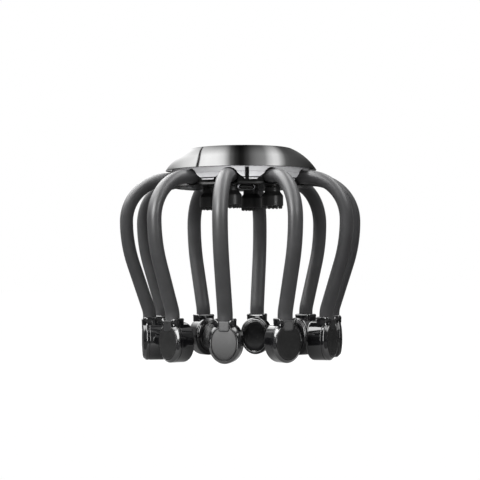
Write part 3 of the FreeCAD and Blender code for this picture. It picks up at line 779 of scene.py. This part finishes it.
    def build_screws(self) -> Piece:
        """Builds the pan-head screws under the base plate with a node tree.

        Returns:
            The piece that stands for the base screws.
        """
        shape = NodeShape("pan_head_screws", floats="Head Radius, Head Height", vectors="Recess")
        tree, given = shape.tree, shape.given
        radius, height = given["Head Radius"], given["Head Height"]
        head = result(tree, "GeometryNodeMeshUVSphere", {"Segments": 32, "Rings": 16})
        reach = result(tree, "ShaderNodeCombineXYZ", {0: radius, 1: radius, 2: height})
        bar = result(tree, "GeometryNodeMeshCube", {"Size": given["Recess"]})
        cut = add(tree, "GeometryNodeMeshBoolean", operation="DIFFERENCE", solver="EXACT")
        tree.links.new(shape.moved(head, scale=reach), cut.inputs["Mesh 1"])
        for turn in (0.0, math.pi / 2):
            slot = shape.lowered(bar, height, 1.0, rotation=(0.0, 0.0, turn))
            tree.links.new(slot, cut.inputs["Mesh 2"])
        shape.end(shape.spread(cut.outputs["Mesh"], given["Geometry"]), SCREW_METAL)
        points = [spot(self.screw_ring, self.base_bottom, angle) for angle in self.screw_angles]
        wide, high = self.screw_head
        values = {"Head Radius": wide * MM, "Head Height": high * MM,
                  "Recess": tuple(length * MM for length in self.screw_recess)}
        made = shape.bake("base_screw_heads", points, values)
        made.data.set_sharp_from_angle(angle=math.radians(40))
        return made

    def socket_ring(self, half_width: float, half_height: float, radius: float) -> list[Vector]:
        """A rounded ring of the socket's shell at a distance from the axis."""
        corner = min(half_height * 0.85, 1.2)
        outline = eased([(-half_width, -half_height, corner), (half_width, -half_height, corner),
                         (half_width, half_height, corner), (-half_width, half_height, corner)], 6)
        return [spot(radius, self.socket_middle + z, self.slit_angle, u) for u, z in outline]

    def build_socket(self) -> Piece:
        """Builds the charging socket: a rounded shell with a lipped mouth painted black inside as shade, and
        a tongue.

        Returns:
            The piece that stands for the charge socket.
        """
        shell = [self.socket_ring(*ring) for ring in (
            (5.7, 1.6, 30.43), (5.7, 1.6, 37.6), (5.62, 1.52, 37.85), (5.4, 1.3, 37.93),
            (4.72, 1.28, 37.93), (4.5, 1.2, 37.7), (4.5, 1.2, 31.93))]
        wide, high = self.tongue_half
        tongue = [[spot(radius, self.socket_middle + z, self.slit_angle, u)
                   for u, z in ((-wide, -high), (wide, -high), (wide, high), (-wide, high))]
                  for radius in self.tongue_reach]
        made = skinned("charge_socket_shell", SOCKET_METAL, shell, tongue)
        # Faces within the mouth, the tongue's among them, get the black finish: painted shade inside the
        # socket.
        made.data.materials.append(FRAME_BLACK.material())
        aside = spot(0.0, 0.0, self.slit_angle, 1.0).normalized()
        wide, high = self.mouth_shade_half
        for face in made.data.polygons:
            corners = [made.data.vertices[index].co / MM for index in face.vertices]
            inside = [abs(corner.dot(aside)) < wide and abs(corner.z - self.socket_middle) < high
                      for corner in corners]
            face.material_index = all(inside)
        return made

    def build(self) -> None:
        """Builds the hub's pieces and seats them."""
        seat(self.build_band(), "hub", Slot.BAND, "trim_ring")
        seat(self.build_skirt(), "hub", Slot.SKIRT, "skirt_ring")
        seat(self.build_cover(), "hub", Slot.HUB_GLOSS, "top_cover")
        seat(self.build_button(), "button", Slot.BUTTON, "power_button")
        seat(self.build_screws(), "hub", Slot.SCREW, "base_screws")
        seat(self.build_socket(), "hub", Slot.SOCKET, "charge_socket")


@dataclass
class KneadingHeads:
    """The four silicone kneading heads with their nubs. Millimetres."""

    count: int = 4
    first_angle: float = -18.0
    ring: float = 20.4
    top: float = 106.45
    neck_radius: float = 4.9
    neck_bottom: float = 103.59
    barrel_radius: float = 6.7
    barrel_top: float = 101.09
    barrel_bottom: float = 95.09
    face: float = 94.69
    face_radius: float = 6.45
    nub_count: int = 14
    inner_count: int = 7
    nub_radius: float = 0.68
    tip_radius: float = 0.62
    tip_share: float = 0.67
    tip_flatness: float = 0.9
    nub_height: float = 1.7
    nub_margin: float = 0.2

    def body_outline(self) -> Outline:
        """Radius and height of the head's rings, from its top to its face."""
        corners = [(-1.0, self.top, 0.0), (self.neck_radius, self.top, 0.35),
                   (self.neck_radius, self.neck_bottom, 0.8), (self.barrel_radius, self.barrel_top, 0.9),
                   (self.barrel_radius, self.barrel_bottom, 0.2), (self.face_radius, self.face, 0.2),
                   (-1.0, self.face, 0.0)]
        return [(max(0.0, radius), height) for radius, height in eased(corners, 4)]

    def nubs(self) -> NodeShape:
        """Makes the node tree that sets blunt nubs in two rings and one in the middle.

        Returns:
            The tree, with the rings' and the nubs' sizes as inputs.
        """
        shape = NodeShape("nub_rings", numbers="Count, Inner Count", vectors="Turn",
                          floats="Ring Radius, Inner Radius, Nub Radius, Tip Radius, Nub Height")
        tree, given = shape.tree, shape.given
        spots = add(tree, "GeometryNodeJoinGeometry")
        for count, radius in (("Count", "Ring Radius"), ("Inner Count", "Inner Radius")):
            ring = result(tree, "GeometryNodeMeshCircle", {"Vertices": given[count], "Radius": given[radius]})
            tree.links.new(shape.moved(ring, rotation=given["Turn"]), spots.inputs[0])
        tree.links.new(result(tree, "GeometryNodeMeshLine", {"Count": 1}), spots.inputs[0])
        stem = result(tree, "GeometryNodeMeshCone", {
            "Vertices": 20, "Radius Top": given["Nub Radius"], "Radius Bottom": given["Tip Radius"],
            "Depth": given["Nub Height"],
        })
        ball = result(tree, "GeometryNodeMeshUVSphere",
                      {"Segments": 20, "Rings": 10, "Radius": given["Tip Radius"]})
        nub = add(tree, "GeometryNodeJoinGeometry")
        for part, flat in ((stem, 1.0), (ball, self.tip_flatness)):
            sunk = shape.lowered(part, given["Nub Height"], self.tip_share, scale=(1.0, 1.0, flat))
            tree.links.new(sunk, nub.inputs[0])
        grown = shape.spread(nub.outputs[0], spots.outputs[0])
        shape.end(shape.spread(grown, given["Geometry"]), HEAD_SOFT)
        return shape

    def build(self) -> None:
        """Builds every head with its nubs and seats them."""
        tree = self.nubs()
        ring = (self.face_radius - self.nub_radius - self.nub_margin) * MM
        values = {"Count": self.nub_count, "Inner Count": self.inner_count, "Ring Radius": ring,
                  "Inner Radius": ring / 2, "Nub Radius": self.nub_radius * MM,
                  "Tip Radius": self.tip_radius * MM, "Nub Height": self.nub_height * MM}
        for number in range(1, self.count + 1):
            angle = self.first_angle + 360 / self.count * (number - 1)
            rows = turned_rows(self.body_outline(), spot(self.ring, 0.0, angle), 64)
            head = skinned(f"kneading_head_{number}", HEAD_SOFT, rows)
            seat(head, f"knead_{number}", Slot.HEAD, f"knead_head_{number}")
            values["Turn"] = (0.0, 0.0, math.radians(angle - 90))
            made = tree.bake(f"head_nubs_{number}", [spot(self.ring, self.face, angle)], values)
            seat(made, f"knead_{number}", Slot.HEAD, f"knead_head_{number}")


@dataclass
class Claws:
    """The ten silicone claws: oval rods that leave the hub level, bend down and lean back in. Millimetres."""

    width: float = 9.2
    depth: float = 8.2
    root_radius: float = 40.63
    root_height: float = 111.59
    root_inset: float = 1.6
    bend_length: float = 14.0
    run: float = 5.164
    shoulder: float = 26.0
    calf: float = 84.9
    lean: float = 18.4
    shin: float = 27.97
    ankle: float = 16.0
    tip_height: float = 24.7

    def path(self) -> Outline:
        """Radius and height of the points along one claw's middle line."""
        start = self.root_radius + self.run
        side = self.root_height - self.shoulder
        lean = math.radians(self.lean)
        line = [(self.root_radius + step, self.root_height) for step in (-self.root_inset, 0.0, self.run / 2)]
        line += arc((start, side), self.shoulder, 90, 0, 22)
        line += arc((start + self.shoulder - self.calf, side), self.calf, 0, -self.lean, 12)[1:]
        knee = Vector(line[-1])
        foot = knee - Vector((math.sin(lean), math.cos(lean))) * self.shin
        line += [tuple(knee.lerp(foot, i / 6)) for i in range(1, 6)]
        turn = foot + Vector((math.cos(lean), -math.sin(lean))) * self.ankle
        line += arc(tuple(turn), self.ankle, 180 - self.lean, 180, 6)
        line.append((line[-1][0], self.tip_height))
        return line

    @staticmethod
    def tube() -> NodeShape:
        """Makes the node tree that sweeps the oval section along a line.

        Returns:
            The tree, with the section's width and depth and the claw's side as inputs.
        """
        shape = NodeShape("claw_rod", floats="Width, Depth", vectors="Side")
        tree, given = shape.tree, shape.given
        line = result(tree, "GeometryNodeMeshToCurve", {"Mesh": given["Geometry"]})
        sided = result(tree, "GeometryNodeSetCurveNormal", {"Curve": line, "Normal": given["Side"]},
                       mode="FREE")
        ring = result(tree, "GeometryNodeCurvePrimitiveCircle", {"Resolution": 40, "Radius": 0.5})
        reach = result(tree, "ShaderNodeCombineXYZ", {0: given["Width"], 1: given["Depth"], 2: 1.0})
        swept = {"Curve": sided, "Profile Curve": shape.moved(ring, scale=reach), "Fill Caps": True}
        shape.end(result(tree, "GeometryNodeCurveToMesh", swept), CLAW_SOFT)
        return shape

    def build(self) -> None:
        """Builds each claw along its bent line in place of its CAD arm, and reports it."""
        tree = self.tube()
        path = self.path()
        values = {"Width": self.width * MM, "Depth": self.depth * MM}
        for number in range(1, ARM_COUNT + 1):
            angle = arm_angle(number)
            points = [spot(radius, height, angle) for radius, height in path]
            values["Side"] = tuple(spot(0.0, 0.0, angle, 1.0).normalized())
            made = tree.bake(f"silicone_claw_{number}", points, values, joined=True)
            made.data.set_sharp_from_angle(angle=math.radians(50))
            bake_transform(made)
            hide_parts(f"claw_arm_{number}")
            log.info("%s bends between hub and claw_%d", made.name, number)


@dataclass
class Pod:
    """One pod: oval case with a collar, tongued outer plate with a tab, and inner pad. Millimetres."""

    number: int
    half_width: float = 9.7
    half_height: float = 12.0
    back: float = 48.007
    face: float = 62.007
    seam_depth: float = 3.9
    stem: float = 57.807
    collar_top: float = 26.5
    collar_foot: float = 22.2
    collar_half: Pair = (6.5, 4.7)
    bore_half: Pair = (4.72, 4.22)
    ear_edge: float = 5.9
    ear_slope: float = 2.6
    back_edge: float = 4.6
    back_slope: float = 4.2
    back_dip: float = 2.3
    fullness: float = 0.88
    plate_rim: float = 1.9
    plate_top_rim: float = 2.4
    plate_depth: float = 2.7
    plate_rise: float = 0.05
    pad_rim: float = 2.4
    pad_rise: float = 0.4
    tongue_half_width: float = 3.2
    tongue_top: float = 25.0
    tongue_gap: float = 0.12
    tongue_bed: float = 0.5
    tongue_round: float = 0.8
    tab_bottom: float = 18.8
    tab_round: float = 1.5
    count: int = 96
    plate_count: int = 160

    def at(self, radius: float, height: float, across: float) -> Vector:
        """A place on this pod: out from the axis, up, and across from its claw's middle."""
        return spot(radius, height, arm_angle(self.number), across)

    def oval(self, radius: float, inset: float, top_share: float = 1.0) -> list[Vector]:
        """One oval ring of the case, its upper half fuller.

        Args:
            radius: Distance from the axis.
            inset: How far it is drawn in.
            top_share: How many times as far its upper half is.

        Returns:
            Points of the ring.
        """
        ring = []
        for i in range(self.count):
            turn = 2 * math.pi * i / self.count
            fuller, drawn = (self.fullness, inset * top_share) if turn < math.pi else (1.0, inset)
            across = math.copysign(abs(math.cos(turn)) ** fuller, math.cos(turn))
            up = math.copysign(abs(math.sin(turn)) ** fuller, math.sin(turn))
            ring.append(self.at(radius, self.half_height + (self.half_height - drawn) * up,
                                (self.half_width - inset) * across))
        return ring

    def shoulder(self, across: float) -> float:
        """Height of the case's oval outline at a distance across."""
        power = 2 / self.fullness
        return self.half_height * (1 + max(0.0, 1 - abs(across / self.half_width) ** power) ** (1 / power))

    def case_rows(self) -> Rows:
        """Rings of the case, from the pad's seat round the back and over the seam to the plate's seat."""
        back, face, seam = self.back, self.face, self.face - self.seam_depth
        outline = [(back + 0.9, 2.3), (back + 0.15, 2.3), (back - 0.12, 2.15), (back - 0.18, 1.95),
                   (back - 0.1, 1.75), (back + 0.1, 1.5)]
        outline += [(back + 1.9 - 1.9 * math.sin(t), 1.6 - 1.6 * math.cos(t)) for t in
                    (math.radians(75 - 12.5 * i) for i in range(7))]
        # A row close to each edge keeps the walls between them straight, and their reflections with them.
        outline += [(back + 2.1, 0.0), (seam - 0.15, 0.0), (seam, 0.0), (seam + 0.12, 0.06),
                    (seam + 0.22, 0.3), (seam + 0.45, 0.3), (seam + 0.55, 0.06), (seam + 0.67, 0.0),
                    (seam + 0.82, 0.0)]
        outline += [(face - 2.35, 0.0), (face - 2.2, 0.0), (face - 1.9, 0.03), (face - 1.65, 0.12),
                    (face - 1.45, 0.28), (face - 1.35, 0.376), (face - 0.55, 1.144), (face - 0.45, 1.24),
                    (face - 0.25, 1.4), (face - 0.08, 1.5), (face, 1.6), (face, 1.7), (face - 0.1, 1.78),
                    (face - 0.3, 1.8), (face - 1.3, 1.8)]
        deeper = self.plate_top_rim / self.plate_rim
        return [self.oval(radius, inset, deeper if radius > self.stem and inset > 0.5 else 1.0)
                for radius, inset in outline]

    def collar_outline(self) -> Outline:
        """Across and depth of the collar's outline, with the slot that the tongue runs in."""
        wide, deep = self.collar_half
        slot = self.tongue_half_width + self.tongue_gap
        floor = self.face - self.stem - self.tongue_bed
        return eased([(-wide, -deep, 2.4), (wide, -deep, 2.4), (wide, deep, 2.9), (slot, deep, 0.2),
                      (slot, floor, 0.1), (-slot, floor, 0.1), (-slot, deep, 0.2), (-wide, deep, 2.9)], 6)

    def collar_lip(self, across: float, depth: float) -> float:
        """Height of the collar's top edge there: it dips between its ears, and at the back."""
        front = depth > 0
        edge, slope = (self.ear_edge, self.ear_slope) if front else (self.back_edge, self.back_slope)
        dip = self.collar_top - self.tongue_top if front else self.back_dip
        return self.collar_top - dip * min(1.0, max(0.0, (edge - abs(across)) / slope))

    def collar_rows(self) -> Rows:
        """Rings of the collar, from inside the case up its outside, over its lip and down its bore."""
        outline = self.collar_outline()
        wide, deep = self.bore_half

        def ring(grow: float, drop: float, foot: bool = False) -> list[Vector]:
            """The outer ring, grown outwards, at a drop below the lip or below the case's shoulder."""
            points = []
            for across, depth in outline:
                share = 1 + grow / math.hypot(across, depth)
                top = self.collar_lip(across, depth)
                if foot:
                    top = self.shoulder(across)
                    top = top if depth < 0 else min(top, self.collar_foot)
                points.append(self.at(self.stem + depth * share, top - drop, across * share))
            return points

        def hole(grow: float, drop: float) -> list[Vector]:
            """The bore's ring, beside each point of the outer ring."""
            points = []
            for across, depth in outline:
                turn = math.atan2(depth / deep, across / wide)
                points.append(self.at(self.stem + (deep + grow) * math.sin(turn),
                                      self.collar_lip(across, depth) - drop, (wide + grow) * math.cos(turn)))
            return points

        return [ring(-2.4, 2.6, True), ring(-1.4, 0.75, True), ring(-0.4, 0.35, True), ring(-0.15, 0.1, True),
                ring(-0.15, 1.9), ring(-0.05, 1.4), ring(0.0, 0.9), ring(-0.1, 0.48), ring(-0.34, 0.15),
                ring(-0.75, 0.0), hole(0.5, 0.05), hole(0.22, 0.2), hole(0.04, 0.5), hole(0.0, 0.9),
                hole(0.0, 4.0)]

    def plate_reach(self, turn: float) -> float:
        """Distance from the plate's middle to its edge, tongue included, in a direction from across."""
        aside, up = abs(math.cos(turn)), math.sin(turn)
        power = 2 / self.fullness if up > 0 else 2.0
        wide = self.half_width - self.plate_rim
        high = self.half_height - (self.plate_top_rim if up > 0 else self.plate_rim)
        oval = ((aside / wide) ** power + abs(up / high) ** power) ** (-1 / power)
        if up <= 0.3:
            return oval
        tongue = min(self.tongue_half_width / max(1e-6, aside), (self.tongue_top - self.half_height) / up)
        soft = self.tongue_round
        gap = max(soft - abs(oval - tongue), 0.0) / soft
        return max(oval, tongue) + gap * gap * soft / 4

    def plate_rows(self) -> Rows:
        """Rings of the satin outer plate with its tongue, from its back to its crowned face."""
        tip = math.atan2(self.tongue_top - self.half_height, self.tongue_half_width)
        turns = [2 * math.pi * i / self.plate_count for i in range(self.plate_count)]
        turns = sorted(turns + [tip, math.pi - tip])
        hidden = self.plate_rise + self.plate_depth
        rows = []
        for scale, inset, sink in ((0.0, 0.0, hidden), (1.0, 0.02, hidden), (1.0, 0.02, 0.22),
                                   (1.0, 0.08, 0.07), (1.0, 0.24, 0.0), (0.9, 0.0, -0.02), (0.8, 0.0, -0.03),
                                   (0.65, 0.0, -0.04), (0.4, 0.0, -0.05), (0.0, 0.0, -0.06)):
            front = self.face + self.plate_rise - sink
            reaches = [max(0.0, self.plate_reach(turn) * scale - inset) for turn in turns]
            rows.append([self.at(front, self.half_height + reach * math.sin(turn), reach * math.cos(turn))
                         for turn, reach in zip(turns, reaches)])
        return rows

    def tab_rows(self) -> Rows:
        """Rings of the soft tab that runs from the claw's end down over the plate."""
        rows = []
        for inset, rise in ((0.0, -0.6), (0.0, 0.1), (0.06, 0.25), (0.2, 0.36), (0.4, 0.4), (1.2, 0.4)):
            wide, curve = self.tongue_half_width - inset, self.tab_round - inset
            low, top = self.tab_bottom + inset, self.tongue_top - inset
            outline = eased([(-wide, low, curve), (wide, low, curve), (wide, top, 0.3), (-wide, top, 0.3)], 6)
            rows.append([self.at(self.face + rise, height, across) for across, height in outline])
        return rows

    def pad_rows(self) -> Rows:
        """Rings of the crowned inner pad."""
        rim = self.pad_rim
        rows = [self.oval(self.back + 0.8, rim), self.oval(self.back - 0.1, rim),
                self.oval(self.back - 0.26, rim + 0.12)]
        for share in (0.95, 0.8, 0.6, 0.4, 0.2, 0.02):
            inset = self.half_width - (self.half_width - rim) * share
            rows.append(self.oval(self.back - self.pad_rise + 0.03 * share ** 2, inset))
        return rows

    def build(self) -> None:
        """Builds the pod's pieces and seats them on its claw."""
        number = self.number
        case = skinned(f"pod_shell_{number}", POD_BLACK, self.case_rows(), self.collar_rows(), crisp=38.0)
        seat(case, f"claw_{number}", Slot.POD, f"pod_case_{number}")
        for name, finish, rows in (("pod_plate", PLATE_SATIN, self.plate_rows()),
                                   ("pod_tab", TAB_SATIN, self.tab_rows()),
                                   ("pod_pad", PAD_BLACK, self.pad_rows())):
            made = skinned(f"{name}_{number}", finish, rows, crisp=50.0)
            seat(made, f"claw_{number}", Slot.POD_FACE, f"pod_faces_{number}")


class CadNodes:
    """The CAD nodes that stay as they are and get a finish."""

    @staticmethod
    def dress() -> None:
        """Gives each node that stays the finish of its kind."""
        for name, node in frame["nodes"].items():
            kind = name.rstrip("0123456789").rstrip("_")
            finish = CAD_FINISHES.get(kind)
            if finish is None:
                continue
            node.data.materials.clear()
            node.data.materials.append(finish.material())
            log.info("%s keeps its CAD shape", name)


@dataclass(frozen=True)
class Lamp:
    """A lamp panel, out of the camera's sight. Metres.

    Attributes:
        name: Name of the lamp.
        place: Its middle.
        aim: Where it looks.
        size: Its width and height.
        level: How bright its face is.
        lights: How the names of the pieces that it lights start; it lights everything if left out.
        mirrored: False if it isn't seen in reflections.
        spreads: False if it is seen in reflections only.
    """

    name: str
    place: Place
    aim: Place
    size: Pair
    level: float
    lights: tuple[str, ...] = ()
    mirrored: bool = True
    spreads: bool = True

    def hang(self) -> None:
        """Hangs the lamp and links it to what it lights."""
        data = bpy.data.lights.new(self.name, "AREA")
        data.shape = "RECTANGLE"
        data.size, data.size_y = self.size
        data.energy = self.level * math.pi * data.size * data.size_y
        lamp = bpy.data.objects.new(self.name, data)
        lamp.location = self.place
        lamp.rotation_euler = (Vector(self.aim) - Vector(self.place)).to_track_quat("-Z", "Y").to_euler()
        lamp.visible_camera = False
        lamp.visible_glossy = self.mirrored
        lamp.visible_diffuse = self.spreads
        bpy.context.scene.collection.objects.link(lamp)
        if self.lights:
            lit = bpy.data.collections.new(f"lit_by_{self.name}")
            for piece in bpy.data.objects:
                if piece.name.startswith(self.lights):
                    lit.objects.link(piece)
            lamp.light_linking.receiver_collection = lit
            lamp.light_linking.blocker_collection = lit


FRONT_CLAWS = ("silicone_claw_1", "silicone_claw_2")
LAMPS = (
    # Soft fills before and behind the claws, and a stronger one for the pale skirt.
    Lamp("front_fill", (0.0, -0.25, 0.08), (0.0, 0.0, 0.065), (0.28, 0.16), 1.7, mirrored=False),
    Lamp("skirt_fill", (0.0, -0.25, 0.08), (0.0, 0.0, 0.065), (0.28, 0.16), 3.7, ("notched_skirt",),
         mirrored=False),
    Lamp("back_fill", (0.0, 0.3, 0.09), (0.0, 0.0, 0.07), (0.28, 0.16), 1.4, mirrored=False),
    # Panels that the left front plate and the right front tab mirror whole.
    Lamp("plate_panel", (-0.083, -0.254, 0.09), (-0.011, -0.061, 0.09), (0.07, 0.32), 17.0,
         ("pod_plate", "pod_tab", "pod_shell")),
    Lamp("tab_panel", (0.1885, -0.1738, 0.0152), (0.0272, -0.0557, 0.0219), (0.05, 0.05), 9.0, ("pod_tab",)),
    # Narrow strips at the right that draw white lines on the pods and the heads.
    Lamp("right_strip", (0.203, -0.155, 0.062), (-0.02, 0.04, 0.062), (0.024, 0.12), 7.0,
         ("pod_shell", "pod_pad")),
    Lamp("pad_strip", (0.207, -0.149, 0.004), (-0.021, 0.043, 0.014), (0.012, 0.03), 6.0, ("pod_pad",)),
    Lamp("head_strip", (0.17, -0.22, 0.1), (0.006, -0.02, 0.1), (0.03, 0.08), 20.0,
         ("kneading_head", "head_nubs")),
    # A strip that outlines the socket and the base plate's edge.
    Lamp("under_strip", (0.02, -0.4, 0.128), (0.0, -0.04, 0.106), (0.16, 0.03), 9.0,
         ("base_plate", "charge_socket")),
    # Sheen on the shoulders of the front claws.
    Lamp("shoulder_panel", (-0.195, -0.29, 0.193), (-0.012, -0.072, 0.1), (0.12, 0.14), 28.0, FRONT_CLAWS,
         spreads=False),
    Lamp("shoulder_strip", (0.17, -0.29, 0.19), (0.0, -0.07, 0.1), (0.08, 0.1), 14.0, FRONT_CLAWS,
         spreads=False),
)
# Degrees from the middle to a side, and how bright the panels are there.
PANELS = (
    (-90, 0.01), (-82, 0.08), (-73, 0.22), (-65, 0.42), (-56, 0.62), (-42, 0.78), (-30, 0.88), (-20, 0.82),
    (-15, 0.66), (-12, 0.4), (-9, 0.12), (-5, 0.03), (-1, 0.008), (2, 0.012), (6, 0.05), (9, 0.11),
    (13, 0.17), (21, 0.24), (25, 0.52), (29, 0.69), (33, 0.67), (37, 0.35), (41, 0.1), (46, 0.065),
    (60, 0.04), (75, 0.012), (90, 0.0),
)


@dataclass
class Studio:
    """Floor, light and camera. Metres and degrees; a pair is where something starts and ends."""

    distance: float = 0.9375
    eye_height: float = 0.0514
    lens: float = 112.5
    tilt: float = 1.375
    roll: float = 0.4
    aside: float = -0.0011
    floor_size: float = 8.0
    floor_drop: float = 0.0002
    near_floor: str = "#606060"
    far_floor: str = "#2c2c2c"
    white_level: float = 0.96
    pool_end: Pair = (0.188, 0.196)
    ring_end: Pair = (0.073, 0.077)
    ring_start: float = 0.045
    ring_levels: Pair = (0.35, 1.5)
    pool_level: float = 0.25
    far_level: float = 0.05
    pool_front: Pair = (0.01, -0.05)
    back_painted_shade: float = 0.2
    panel_light: float = 14.0
    low_light: float = 0.25
    top_share: float = 0.1
    spread_share: float = 0.1
    panel_start: Pair = (14.0, 22.0)
    panel_end: Pair = (50.0, 70.0)
    seam_width: Pair = (0.9, 1.8)
    seam_turn: float = 35.0
    seam_rise: float = 31.0
    seam_bend: float = 0.66
    seam_level: float = 0.02

    def build_camera(self) -> None:
        """Sets the camera level with the claws, in front."""
        data = bpy.data.cameras.new("camera")
        data.lens = self.lens
        data.sensor_width = 36.0
        camera = bpy.data.objects.new("camera", data)
        camera.location = (self.aside, -self.distance, self.eye_height)
        camera.rotation_euler = (math.radians(90 + self.tilt), math.radians(self.roll), 0.0)
        bpy.context.scene.collection.objects.link(camera)
        bpy.context.scene.camera = camera

    def floor_material(self) -> bpy.types.Material:
        """Makes the white floor: it shows white, keeps the shadows, and in reflections glows round the pods,
        a painted reflection.

        Returns:
            The floor's material.
        """
        made = bpy.data.materials.new("white_studio_paper")
        made.use_nodes = True
        tree = made.node_tree
        tree.nodes.clear()
        place = add(tree, "ShaderNodeTexCoord").outputs["Object"]
        away = add(tree, "ShaderNodeVectorMath", {0: place}, operation="LENGTH").outputs["Value"]
        depth = add(tree, "ShaderNodeSeparateXYZ", {0: place}).outputs["Y"]
        far = ranged(tree, away, *self.pool_end, soft=True)
        paper = mixed(tree, far, linear(self.near_floor), linear(self.far_floor))
        # Mirrored, it glows as a painted reflection: it brightens out to a ring under the pods and dims
        # beyond it, with painted shade under the hub and at the back.
        bright = ranged(tree, away, self.ring_start, self.ring_end[0], *self.ring_levels)
        close = ranged(tree, away, *self.ring_end, 1.0, 0.0, soft=True)
        ring = mixed(tree, close, self.pool_level, bright)
        front = ranged(tree, depth, *self.pool_front, self.back_painted_shade, 1.0)
        painted_reflection_glow = mixed(tree, far, compute(tree, "MULTIPLY", ring, front), self.far_level)
        ray = add(tree, "ShaderNodeLightPath").outputs
        mirrored = compute(tree, "MAXIMUM", ray["Is Glossy Ray"], ray["Is Transmission Ray"])
        below = compute(tree, "MULTIPLY", mirrored, painted_reflection_glow)
        seen = compute(tree, "MULTIPLY_ADD", ray["Is Camera Ray"], self.white_level, below)
        glow = result(tree, "ShaderNodeEmission", {"Strength": seen})
        matte = result(tree, "ShaderNodeBsdfDiffuse", {"Color": paper})
        both = result(tree, "ShaderNodeAddShader", {0: matte, 1: glow})
        add(tree, "ShaderNodeOutputMaterial", {"Surface": both})
        return made

    def build_floor(self) -> None:
        """Lays the floor just under the pods."""
        half = self.floor_size / 2
        square = ((-half, -half), (half, -half), (half, half), (-half, half))
        corners = [(x, y, -self.floor_drop) for x, y in square]
        mesh = bpy.data.meshes.new("studio_floor")
        mesh.from_pydata(corners, [], [range(len(corners))])
        mesh.materials.append(self.floor_material())
        placed("studio_floor", mesh)

    def build_dome(self) -> None:
        """Hangs the light panels overhead and behind, and shows white to the camera."""
        world = bpy.data.worlds.new("studio")
        bpy.context.scene.world = world
        world.use_nodes = True
        tree = world.node_tree
        tree.nodes.clear()
        view = add(tree, "ShaderNodeTexCoord").outputs["Generated"]
        axes = add(tree, "ShaderNodeSeparateXYZ", {0: view}).outputs
        # A direction is told by the slope that would mirror it to the camera: its turn and its rise.
        ahead = compute(tree, "SUBTRACT", 1.0005, axes["Y"])
        turn = compute(tree, "ARCTAN2", axes["X"], ahead)
        level = result(tree, "ShaderNodeCombineXYZ", {0: axes["X"], 1: ahead})
        reach = add(tree, "ShaderNodeVectorMath", {0: level}, operation="LENGTH").outputs["Value"]
        rise = compute(tree, "ARCTAN2", axes["Z"], reach)
        # The panels' edges run to a point far behind, so higher up a panel stands further to its side.
        widen = compute(tree, "MULTIPLY_ADD", rise, 0.5, 0.58)
        side = compute(tree, "DIVIDE", turn, widen)
        ramp = add(tree, "ShaderNodeValToRGB", {0: ranged(tree, side, -math.pi / 2, math.pi / 2)})
        self.set_panels(ramp.color_ramp)
        # A dark seam curves up through the panels on the left.
        above = compute(tree, "SUBTRACT", rise, math.radians(self.seam_rise))
        bend = compute(tree, "MULTIPLY", above, above)
        lean = compute(tree, "MULTIPLY_ADD", bend, self.seam_bend, math.radians(self.seam_turn))
        off_seam = compute(tree, "ABSOLUTE", compute(tree, "ADD", turn, lean))
        seam = ranged(tree, off_seam, *map(math.radians, self.seam_width), self.seam_level, 1.0)
        panels = compute(tree, "MULTIPLY", ramp.outputs["Color"], seam)
        over = ranged(tree, rise, *map(math.radians, self.panel_start), soft=True)
        fade = ranged(tree, rise, *map(math.radians, self.panel_end), self.panel_light,
                      self.top_share * self.panel_light)
        lit = mixed(tree, over, self.low_light, compute(tree, "MULTIPLY", panels, fade))
        ray = add(tree, "ShaderNodeLightPath").outputs
        # Mirrored, the panels are bright; what they spread on a matte colour is a plain level.
        plain = ranged(tree, ray["Is Diffuse Ray"], 0.0, 1.0, 1.0, self.spread_share)
        spread = compute(tree, "MULTIPLY", lit, plain)
        shown = mixed(tree, ray["Is Camera Ray"], spread, 1.0)
        light = result(tree, "ShaderNodeBackground", {"Color": linear("#ffffff"), "Strength": shown})
        add(tree, "ShaderNodeOutputWorld", {0: light})

    @staticmethod
    def set_panels(ramp: bpy.types.ColorRamp) -> None:
        """Sets how bright the panels are, from the left round to the right."""
        while len(ramp.elements) < len(PANELS):
            ramp.elements.new(1.0)
        for element, (angle, level) in zip(ramp.elements, PANELS):
            element.position = (angle + 90) / 180
            element.color = (level, level, level, 1.0)

    def build(self) -> None:
        """Builds the camera, floor and lights; the pieces that lamps are linked to have to be there."""
        bpy.context.scene.view_settings.view_transform = "Standard"
        self.build_camera()
        self.build_floor()
        self.build_dome()
        for lamp in LAMPS:
            lamp.hang()


def main() -> None:
    """Builds the massager's sub-assemblies in order, then the studio."""
    logging.basicConfig(level=logging.INFO, format="%(message)s")
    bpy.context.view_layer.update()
    CadNodes.dress()
    Hub().build()
    KneadingHeads().build()
    Claws().build()
    for number in range(1, ARM_COUNT + 1):
        Pod(number).build()
    Studio().build()


if __name__ == "__main__":
    main()
